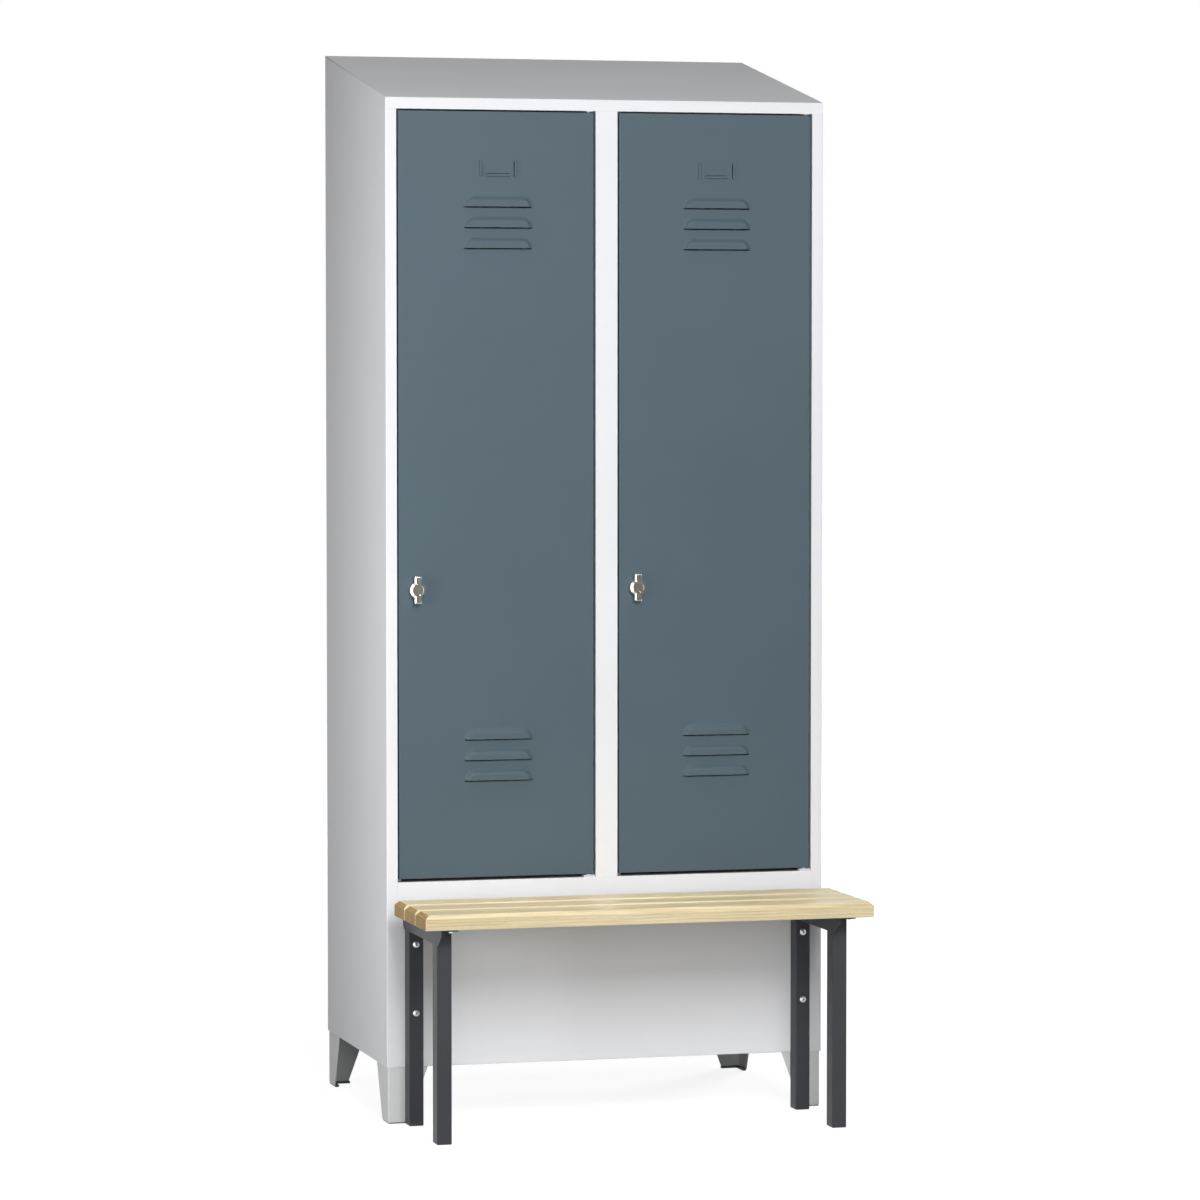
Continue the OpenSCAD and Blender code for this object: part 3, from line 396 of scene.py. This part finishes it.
black_plastic = moulded("moulded_black_polyethylene", "#232426", "#191a1b", 0.5, 1.5)
pale_plastic = moulded("light_grey_acetal", "#cfd1d2", "#c5c7c9", 0.45, 1.5)
rubber = moulded("black_rubber", "#2a2b2c", "#202122", 0.75, 1.0)
print("plastics:", black_plastic.name, pale_plastic.name, rubber.name)

# %% [markdown]
# ## The CAD nodes
#
# Every node first gets the finish that the record names for it, so nothing is left in its plain
# colour. The loose triangles of a node are joined by a Weld modifier, and its mesh stays as it is.

# %% Finish the CAD nodes
FINISHES = {
    "body": body_coat, "inside": inside_coat, "door": door_coat, "bench": bench_coat,
    "wood": beech_face, "nickel": nickel, "zinc": zinc, "glide": black_plastic,
    "pale_plastic": pale_plastic, "rubber": rubber,
}
WELD_WITHIN = 0.00001
slots = {}
for name, node in nodes.items():
    slots[name] = node.data.materials[0].name.split(".")[0]
    node.data.materials[0] = FINISHES[slots[name]]
    weld = node.modifiers.new("weld", "WELD")
    weld.merge_threshold = WELD_WITHIN
print("finished nodes:", len(slots), "slots:", sorted(set(slots.values())))

# %% [markdown]
# ## Helpers for modelling
#
# An edit-mode operator works on what is selected, so each step below selects its faces or edges by
# their place or direction first. `pick` does that, and `settle` closes a piece: it rides on the
# node's body, stands for the node, and gets its material.

# %% Helpers for modelling
def start_box(name, low, high):
    """A cube brought to the box between two corners, with its place in its mesh."""
    bpy.ops.object.select_all(action="DESELECT")
    middle = [(a + b) / 2 for a, b in zip(low, high)]
    spans = [b - a for a, b in zip(low, high)]
    bpy.ops.mesh.primitive_cube_add(size=1, location=middle, scale=spans)
    piece = bpy.context.object
    piece.name = name
    bpy.ops.object.transform_apply(location=True, rotation=True, scale=True)
    return piece


def only(piece):
    """Makes one piece the only selected and active one, in object mode."""
    if bpy.context.object and bpy.context.object.mode != "OBJECT":
        bpy.ops.object.mode_set(mode="OBJECT")
    bpy.ops.object.select_all(action="DESELECT")
    piece.select_set(True)
    bpy.context.view_layer.objects.active = piece


def pick(piece, kind, test):
    """Selects the faces, edges or vertices whose middle and direction pass a test, in edit mode."""
    only(piece)
    bpy.ops.object.mode_set(mode="EDIT")
    bpy.ops.mesh.select_mode(type=kind)
    bpy.ops.mesh.select_all(action="DESELECT")
    shape = bmesh.from_edit_mesh(piece.data)
    found = 0
    if kind == "FACE":
        items = [(f, f.calc_center_median(), f.normal) for f in shape.faces]
    elif kind == "EDGE":
        ends = [(e, e.verts[0].co, e.verts[1].co) for e in shape.edges]
        items = [(e, (a + b) / 2, (b - a).normalized()) for e, a, b in ends]
    else:
        items = [(v, v.co, v.normal) for v in shape.verts]
    for item, middle, way in items:
        if test(middle, way):
            item.select_set(True)
            found += 1
    bmesh.update_edit_mesh(piece.data)
    return found


def near(a, b):
    """Whether two lengths agree within a twentieth of a millimetre."""
    return abs(a - b) < 0.00005


def apply_bevel(piece, width, segments, angle):
    """Rounds every edge sharper than the angle, and applies the modifier."""
    only(piece)
    edges = piece.modifiers.new("soft_edges", "BEVEL")
    edges.width = width
    edges.segments = segments
    edges.limit_method = "ANGLE"
    edges.angle_limit = math.radians(angle)
    bpy.ops.object.modifier_apply(modifier=edges.name)


def settle(piece, node, material, angle=35):
    """Smooths a finished piece, gives it its material and puts it in the node's stead."""
    only(piece)
    bpy.ops.object.shade_smooth_by_angle(angle=math.radians(angle))
    flat = piece.modifiers.new("flat_faces", "WEIGHTED_NORMAL")
    flat.weight = 100
    flat.keep_sharp = True
    bpy.ops.object.modifier_apply(modifier=flat.name)
    if not piece.data.materials:
        piece.data.materials.append(material)
    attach(piece, nodes[node]["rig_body"])
    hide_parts(node)
    return piece


print("helpers ready")

# %% [markdown]
# ## Folded sheet
#
# The body, the doors and the frame around them are one-millimetre sheet, folded in a press brake.
# A fold is never sharp: its outside is round, with a radius of one to two millimetres, and that
# round edge is what catches the light. The CAD draws folds sharp, which is right for fitting parts
# together. So each sheet is copied, its triangles are merged back into whole faces, and only its
# outer fold lines, found by their place, get a bevel: a wide one at the corners of the body and the
# doors, and a tighter one round the doorways.

# %% Copy a node as clean faces
def merged_copy(node, name):
    """A copy of a CAD node whose loose triangles are merged into whole faces."""
    only(nodes[node])
    bpy.ops.object.duplicate()
    piece = bpy.context.object
    piece.name = name
    for key in list(piece.keys()):
        del piece[key]
    piece.modifiers.clear()
    piece.parent = None
    bpy.ops.object.mode_set(mode="EDIT")
    bpy.ops.mesh.select_all(action="SELECT")
    bpy.ops.mesh.customdata_custom_splitnormals_clear()
    bpy.ops.mesh.remove_doubles(threshold=WELD_WITHIN)
    bpy.ops.mesh.dissolve_limited(angle_limit=math.radians(0.4))
    bpy.ops.object.mode_set(mode="OBJECT")
    return piece


CORNER_R, CORNER_STEPS = 0.0018, 4
DOORWAY_R, DOORWAY_STEPS = 0.0009, 3


def round_folds(piece, radius, steps, test):
    """Rounds the fold lines that pass a test, and counts them."""
    found = pick(piece, "EDGE", test)
    if found:
        bpy.ops.mesh.bevel(offset=radius, segments=steps, affect="EDGES")
    bpy.ops.object.mode_set(mode="OBJECT")
    return found


low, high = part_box("side_panel_left")
FRONT, BACK = low.y, high.y
HALF = -low.x
FOOT_H = low.z
HEAD_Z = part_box("centre_post")[1].z
SILL_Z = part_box("centre_post")[0].z
print("body front, back, half width:", FRONT, BACK, HALF, "sill and head:", SILL_Z, HEAD_Z)

# %% Side panels
STILE = 0.02
for side, sign in (("left", -1), ("right", 1)):
    node = "side_panel_" + side
    panel = merged_copy(node, node + "_sheet")
    corners = round_folds(panel, CORNER_R, CORNER_STEPS, lambda m, w: (
        abs(w.z) > 0.9 and near(m.x, sign * HALF) and (near(m.y, FRONT) or near(m.y, BACK))))
    inner = round_folds(panel, DOORWAY_R, DOORWAY_STEPS, lambda m, w: (
        abs(w.z) > 0.9 and m.z > SILL_Z and near(m.x, sign * (HALF - STILE)) and near(m.y, FRONT)))
    settle(panel, node, body_coat)
    print(node, "corner folds:", corners, "doorway folds:", inner)

# %% Roof, post and plinth
ROOF_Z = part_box("roof_panel")[1].z
FOLDS_APART = 0.01
roof = merged_copy("roof_panel", "roof_sheet")
folds = round_folds(roof, CORNER_R, CORNER_STEPS, lambda m, w: (
    abs(w.x) > 0.9 and (near(m.y, FRONT) and m.z > HEAD_Z + FOLDS_APART
                        or near(m.y, BACK) and m.z > ROOF_Z - FOLDS_APART)))
folds += round_folds(roof, DOORWAY_R, DOORWAY_STEPS, lambda m, w: (
    abs(w.x) > 0.9 and near(m.y, FRONT) and near(m.z, HEAD_Z)))
settle(roof, "roof_panel", body_coat)
post = merged_copy("centre_post", "centre_post_sheet")
folds += round_folds(post, DOORWAY_R, DOORWAY_STEPS, lambda m, w: (
    abs(w.z) > 0.9 and near(m.y, FRONT)))
settle(post, "centre_post", body_coat)
plinth = merged_copy("plinth_panel", "plinth_sheet")
folds += round_folds(plinth, DOORWAY_R, DOORWAY_STEPS, lambda m, w: (
    abs(w.x) > 0.9 and near(m.y, FRONT) and (near(m.z, FOOT_H) or near(m.z, SILL_Z))))
settle(plinth, "plinth_panel", body_coat)
print("folds rounded on roof, post and plinth:", folds)

# %% [markdown]
# ## Doors
#
# A door is a tray folded from one sheet. Its louvres and the tabs of its label holder are pressed
# and lanced in the same sheet before it is folded, so they keep its colour and have no seams, only
# soft creases. The tray's outer folds get the round of the body's corners, and the louvres keep the
# CAD's facets, smoothed where they meet at less than 40 degrees.

# %% Doors
for side in ("left", "right"):
    node = "door_" + side
    door = merged_copy(node, node + "_skin")
    door_low, door_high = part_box(node)
    folds = round_folds(door, CORNER_R, CORNER_STEPS, lambda m, w: near(m.y, FRONT) and (
        abs(w.z) > 0.9 and (near(m.x, door_low.x) or near(m.x, door_high.x))
        or abs(w.x) > 0.9 and (near(m.z, door_low.z) or near(m.z, door_high.z))))
    settle(door, node, door_coat, angle=40)
    print(node, "outer folds:", folds)

# %% [markdown]
# ## Slats
#
# Each slat is a planed beech board, 75 by 27 mm, with its upper edges planed off at 45 degrees, the
# ends too. A cube at the board's size is the start, the four edges of its top are bevelled once for
# the wide facet, and a second, fine bevel breaks the sharp lines as sandpaper does. The faces that
# look along the grain are cut across the pores, so they get the end grain, and so does the facet
# above them. The rounded corners beside them stay pale.

# %% Slats
SLAT_BEVEL = 0.007
SANDED = 0.0011
for place_name in ("front", "middle", "rear"):
    node = "seat_slat_" + place_name
    low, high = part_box(node)
    slat = start_box(place_name + "_slat", low, high)
    pick(slat, "FACE", lambda m, w: w.z > 0.9)
    bpy.ops.mesh.bevel(offset=SLAT_BEVEL, segments=1, affect="EDGES")
    apply_bevel(slat, SANDED, 3, 20)
    slat.data.materials.append(beech_face)
    slat.data.materials.append(beech_end)
    for face in slat.data.polygons:
        cut_across = abs(face.normal.x) > 0.5 and abs(face.normal.y) < 0.2
        face.material_index = 1 if cut_across else 0
    settle(slat, node, beech_face)
    print(slat.name, "faces:", len(slat.data.polygons))

# %% [markdown]
# ## Feet
#
# A foot is one pressed corner of 1.5 mm sheet: two tapering wings with a rounded corner between
# them, and a lower edge turned in over a plastic glide. It could be drawn wing by wing, but a box
# already has the corner where three bends meet. So a box is tapered, the three edges at its outer
# corner are bevelled together, and the faces that the press leaves open are deleted. Solidify then
# gives the skin its thickness inwards. The other feet are mirrored copies, each with its own mesh.

# %% Outline of a foot
FOOT_T = 0.0015
SIDE_HIGH, SIDE_LOW = 0.090, 0.046
END_HIGH, END_LOW = 0.072, 0.036
BEND = 0.003
TURN = 0.007
low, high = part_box("foot_front_left")
foot = start_box("pressed_foot", low, (low.x + END_HIGH, low.y + SIDE_HIGH, high.z))
pick(foot, "FACE", lambda m, w: True)
bpy.ops.mesh.bisect(plane_co=(0, 0, FOOT_H), plane_no=(0, 0, 1))
pick(foot, "VERT", lambda m, w: near(m.z, low.z) and near(m.x, low.x + END_HIGH))
bpy.ops.transform.translate(value=(END_LOW - END_HIGH, 0, 0))
pick(foot, "VERT", lambda m, w: near(m.z, low.z) and near(m.y, low.y + SIDE_HIGH))
bpy.ops.transform.translate(value=(0, SIDE_LOW - SIDE_HIGH, 0))
print("foot outline corners:", len(foot.data.vertices))

# %% Bends, openings and thickness
bends = pick(foot, "EDGE", lambda m, w: (
    near(m.x, low.x) + near(m.y, low.y) + near(m.z, low.z) > 1))
bpy.ops.mesh.bevel(offset=BEND, segments=5, affect="EDGES")
pick(foot, "FACE", lambda m, w: w.z < -0.99)
bpy.ops.mesh.bisect(plane_co=(low.x + TURN, 0, 0), plane_no=(1, 0, 0))
pick(foot, "FACE", lambda m, w: w.z < -0.99)
bpy.ops.mesh.bisect(plane_co=(0, low.y + TURN, 0), plane_no=(0, 1, 0))
pick(foot, "FACE", lambda m, w: (
    w.z > 0.99 or w.x > 0.5 or w.y > 0.5
    or w.z < -0.99 and m.x > low.x + TURN and m.y > low.y + TURN))
bpy.ops.mesh.delete(type="FACE")
only(foot)
wall = foot.modifiers.new("wall", "SOLIDIFY")
wall.thickness = FOOT_T
wall.offset = -1
wall.use_even_offset = True
bpy.ops.object.modifier_apply(modifier=wall.name)
print("bends:", bends, "faces:", len(foot.data.polygons))

# %% Four feet
MID_Y = (FRONT + BACK) / 2
for end in ("front", "rear"):
    for side in ("left", "right"):
        only(foot)
        bpy.ops.object.duplicate()
        copy = bpy.context.object
        copy.name = "pressed_foot_" + end + "_" + side
        bpy.ops.object.mode_set(mode="EDIT")
        bpy.ops.mesh.select_all(action="SELECT")
        flip = (-1 if side == "right" else 1, -1 if end == "rear" else 1, 1)
        bpy.ops.transform.resize(value=flip, center_override=(0, MID_Y, 0))
        if flip[0] * flip[1] < 0:
            bpy.ops.mesh.flip_normals()
        bpy.ops.object.mode_set(mode="OBJECT")
        settle(copy, "foot_" + end + "_" + side, foot_coat_with_painted_shade)
bpy.data.objects.remove(foot)
print("feet placed: 4")

# %% [markdown]
# ## Bench frame
#
# The legs are rectangular tube with rounded corners, and an angle iron joins each pair under the
# seat. The CAD has their shape, so their copies only get whole faces and smooth corners, and the
# angle irons softened edges.

# %% Legs and angle irons
IRON_EDGE = 0.0005
bench_steel = sorted(n for n in nodes if n.startswith(("bench_leg", "seat_bracket")))
for node in bench_steel:
    steel = merged_copy(node, node + "_steel")
    if node.startswith("seat_bracket"):
        apply_bevel(steel, IRON_EDGE, 2, 40)
    settle(steel, node, bench_coat, angle=50)
print("bench steel:", len(bench_steel))

# %% [markdown]
# ## Leg caps
#
# Each tube ends in a moulded cap, pressed in. It has the tube's outline with a chamfer round its
# lower edge, so it doesn't catch on the floor. A cube is the start; the plug above it goes into the
# tube by extruding the inset top face.

# %% Leg caps
CAP_H, TUBE_WALL, CAP_ROUND, CAP_CHAMFER = 0.0065, 0.0016, 0.002, 0.0015
leg_caps = sorted(n for n in nodes if n.startswith("leg_cap"))
for node in leg_caps:
    low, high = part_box(node)
    cap = start_box(node + "_moulding", low, (high.x, high.y, low.z + CAP_H))
    pick(cap, "FACE", lambda m, w: w.z > 0.9)
    bpy.ops.mesh.inset(thickness=TUBE_WALL)
    plug_h = high.z - low.z - CAP_H
    bpy.ops.mesh.extrude_region_move(TRANSFORM_OT_translate={"value": (0, 0, plug_h)})
    pick(cap, "EDGE", lambda m, w: abs(w.z) > 0.9 and m.z < low.z + CAP_H)
    bpy.ops.mesh.bevel(offset=CAP_ROUND, segments=4, affect="EDGES")
    pick(cap, "FACE", lambda m, w: w.z < -0.9)
    bpy.ops.mesh.bevel(offset=CAP_CHAMFER, segments=2, affect="EDGES")
    bpy.ops.object.mode_set(mode="OBJECT")
    settle(cap, node, black_plastic)
print("leg caps:", len(leg_caps))

# %% [markdown]
# ## Turned parts
#
# The base of a latch, its turning cap and the bolts are round, so they are drawn as a lathe would
# cut them: half an outline, spun about its axis. A primitive has no single point, so a small plane
# is merged into one, the outline is extruded from it point by point, and Spin takes it round.

# %% Turned parts
LATHE_STEPS = 48
LATHE_WELD = 0.000002


def turned(name, axis, outline):
    """Spins an outline of (radius, depth) points about a line along Y through `axis`."""
    bpy.ops.object.select_all(action="DESELECT")
    bpy.ops.mesh.primitive_plane_add(size=0.001, location=axis)
    piece = bpy.context.object
    piece.name = name
    bpy.ops.object.transform_apply(location=True, rotation=True, scale=True)
    bpy.ops.object.mode_set(mode="EDIT")
    bpy.ops.mesh.select_mode(type="VERT")
    bpy.ops.mesh.select_all(action="SELECT")
    bpy.ops.mesh.merge(type="CENTER")
    bpy.ops.transform.translate(value=(outline[0][0], outline[0][1], 0))
    for (r0, d0), (r1, d1) in zip(outline, outline[1:]):
        bpy.ops.mesh.extrude_vertices_move(TRANSFORM_OT_translate={"value": (r1 - r0, d1 - d0, 0)})
    bpy.ops.mesh.select_all(action="SELECT")
    bpy.ops.mesh.spin(steps=LATHE_STEPS, angle=2 * math.pi, center=axis, axis=(0, 1, 0))
    bpy.ops.mesh.select_all(action="SELECT")
    bpy.ops.mesh.remove_doubles(threshold=LATHE_WELD)
    bpy.ops.mesh.normals_make_consistent(inside=False)
    bpy.ops.object.mode_set(mode="OBJECT")
    return piece


def combine(piece, other, operation):
    """Joins another solid to a piece, or cuts it away, and removes it."""
    only(piece)
    joint = piece.modifiers.new("joint", "BOOLEAN")
    joint.operation = operation
    joint.object = other
    joint.solver = "EXACT"
    bpy.ops.object.modifier_apply(modifier=joint.name)
    bpy.data.objects.remove(other)


print("lathe ready")

# %% [markdown]
# ## Latches
#
# A latch has a flat round base on the door, and a cap that turns on it with a grip across. Its
# edges are broken by a wide chamfer, which turns towards the light and shows as the bright band on
# the left. The cap is turned with a shallow groove round its bare field, and the spindle behind it
# is part of the same outline. The grip starts as a cube whose corners are rounded and whose front
# gets the same chamfer, and a Boolean makes them one. Another adds the square that drives the cam.
# The faces that look straight forward and the groove get a darker nickel, a painted dark
# reflection, and the chamfers stay bright.

# %% Latch bases
BASE_R, BASE_T, NECK_R, NECK_L, BORE_R = 0.014, 0.003, 0.008, 0.012, 0.00405
EASE = 0.0003
LATCH_Z = (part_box("latch_base_left")[0].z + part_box("latch_base_left")[1].z) / 2
latch_axes = {}
for side in ("left", "right"):
    low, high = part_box("latch_base_" + side)
    latch_axes[side] = ((low.x + high.x) / 2, FRONT, LATCH_Z)
    base = turned("latch_rosette_" + side, latch_axes[side], [
        (BORE_R, -BASE_T), (BASE_R - EASE, -BASE_T), (BASE_R, -BASE_T + EASE), (BASE_R, 0),
        (NECK_R, 0), (NECK_R, NECK_L), (BORE_R, NECK_L), (BORE_R, -BASE_T)])
    settle(base, "latch_base_" + side, nickel)
    print(base.name, "faces:", len(base.data.polygons))

# %% Latch handles
CAP_FOOT, CAP_FACE, CAP_R, CAP_RIM = -0.0033, -0.0158, 0.0148, 0.0040
RING_IN, RING_OUT, RING_DEEP = 0.0078, 0.0087, 0.0006
GRIP_W, GRIP_L, GRIP_FACE, GRIP_RIM, GRIP_ROUND = 0.013, 0.048, -0.0154, 0.0022, 0.0018
SPINDLE_R, SPINDLE_END, SQUARE, SQUARE_END = 0.004, 0.0255, 0.0056, 0.028
for side in ("left", "right"):
    x, y, z = latch_axes[side]
    handle = turned("latch_cap_" + side, latch_axes[side], [
        (0, CAP_FACE), (RING_IN - EASE, CAP_FACE), (RING_IN, CAP_FACE + EASE),
        (RING_IN, CAP_FACE + RING_DEEP), (RING_OUT, CAP_FACE + RING_DEEP),
        (RING_OUT, CAP_FACE + EASE), (RING_OUT + EASE, CAP_FACE), (CAP_R - CAP_RIM, CAP_FACE),
        (CAP_R - EASE, CAP_FACE + CAP_RIM), (CAP_R, CAP_FOOT - EASE), (CAP_R - EASE, CAP_FOOT),
        (SPINDLE_R, CAP_FOOT), (SPINDLE_R, SPINDLE_END), (0, SPINDLE_END)])
    grip = start_box("grip", (x - GRIP_W / 2, y + GRIP_FACE + GRIP_RIM, z - GRIP_L / 2),
                     (x + GRIP_W / 2, y + CAP_FOOT, z + GRIP_L / 2))
    pick(grip, "EDGE", lambda m, w: abs(w.y) > 0.8)
    bpy.ops.mesh.bevel(offset=GRIP_ROUND, segments=3, affect="EDGES")
    pick(grip, "FACE", lambda m, w: w.y < -0.9)
    bpy.ops.mesh.extrude_region_move(TRANSFORM_OT_translate={"value": (0, -GRIP_RIM, 0)})
    narrow = (1 - 2 * GRIP_RIM / GRIP_W, 1, 1 - 2 * GRIP_RIM / GRIP_L)
    bpy.ops.transform.resize(value=narrow, center_override=(x, y, z))
    only(grip)
    combine(handle, grip, "UNION")
    square = start_box("square", (x - SQUARE / 2, y + SPINDLE_END - EASE, z - SQUARE / 2),
                       (x + SQUARE / 2, y + SQUARE_END, z + SQUARE / 2))
    combine(handle, square, "UNION")
    handle.data.materials.clear()
    handle.data.materials.append(nickel)
    # Slot 1, the darker nickel of the front faces and the groove, is a painted dark reflection.
    handle.data.materials.append(dark_reflection_nickel)
    for face in handle.data.polygons:
        out = math.hypot(face.center.x - x, face.center.z - z)
        front = face.normal.y < -0.9 and face.center.y < y + CAP_FOOT - EASE
        field = out < RING_OUT and face.center.y < y + CAP_FACE + 2 * RING_DEEP
        face.material_index = 1 if front or field else 0
    settle(handle, "latch_handle_" + side, nickel, angle=25)
    print(handle.name, "faces:", len(handle.data.polygons))

# %% [markdown]
# ## Leg bolts
#
# Four round-headed bolts with a hexagon socket hold the rear legs to the plinth. The domed heads
# are turned, with the shank behind them, and a six-sided cylinder cuts the socket. One bolt is
# made, then copied to the other three places, and the four are joined to the one piece that stands
# for the CAD node.

# %% Leg bolts
BOLT_R, HEAD_R, HEAD_T, DOME_STEPS = 0.003, 0.006, 0.0036, 8
SOCKET_ACROSS, SOCKET_DEEP = 0.004, 0.0024
DOME_R = (HEAD_R ** 2 + HEAD_T ** 2) / (2 * HEAD_T)
low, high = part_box("leg_bolts")
LEG_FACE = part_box("bench_leg_rear_left")[0].y
bolt_x, bolt_z = high.x - HEAD_R, (low.z + HEAD_R, high.z - HEAD_R)
angles = [math.asin(HEAD_R / DOME_R) * i / DOME_STEPS for i in range(DOME_STEPS + 1)]
dome = [(DOME_R * math.sin(a), DOME_R - HEAD_T - DOME_R * math.cos(a)) for a in angles]
bolt = turned("leg_bolt", (-bolt_x, LEG_FACE, bolt_z[0]),
              dome + [(BOLT_R, 0), (BOLT_R, high.y - LEG_FACE), (0, high.y - LEG_FACE)])
bpy.ops.object.select_all(action="DESELECT")
bpy.ops.mesh.primitive_cylinder_add(
    vertices=6, radius=SOCKET_ACROSS / 2 / math.cos(math.pi / 6), depth=2 * SOCKET_DEEP,
    location=(-bolt_x, LEG_FACE - HEAD_T, bolt_z[0]), rotation=(math.pi / 2, 0, 0))
bpy.ops.object.transform_apply(location=True, rotation=True, scale=True)
combine(bolt, bpy.context.object, "DIFFERENCE")
bolt.data.materials.append(zinc)
# Slot 1, the darker zinc in the socket, is a painted shade for the recess.
bolt.data.materials.append(socket_shade_zinc)
for face in bolt.data.polygons:
    out = math.hypot(face.center.x + bolt_x, face.center.z - bolt_z[0])
    in_socket = out < SOCKET_ACROSS * 0.51 and face.center.y < LEG_FACE
    face.material_index = 1 if in_socket else 0
bolts = [bolt]
across, up = 2 * bolt_x, bolt_z[1] - bolt_z[0]
for x_move, z_move in ((across, 0), (0, up), (across, up)):
    only(bolt)
    bpy.ops.object.duplicate()
    copy = bpy.context.object
    bpy.ops.object.mode_set(mode="EDIT")
    bpy.ops.mesh.select_all(action="SELECT")
    bpy.ops.transform.translate(value=(x_move, 0, z_move))
    bpy.ops.object.mode_set(mode="OBJECT")
    bolts.append(copy)
only(bolt)
for copy in bolts:
    copy.select_set(True)
bpy.ops.object.join()
bolt.name = "leg_bolts_turned"
settle(bolt, "leg_bolts", zinc)
print("bolts:", len(bolts), "faces:", len(bolt.data.polygons))
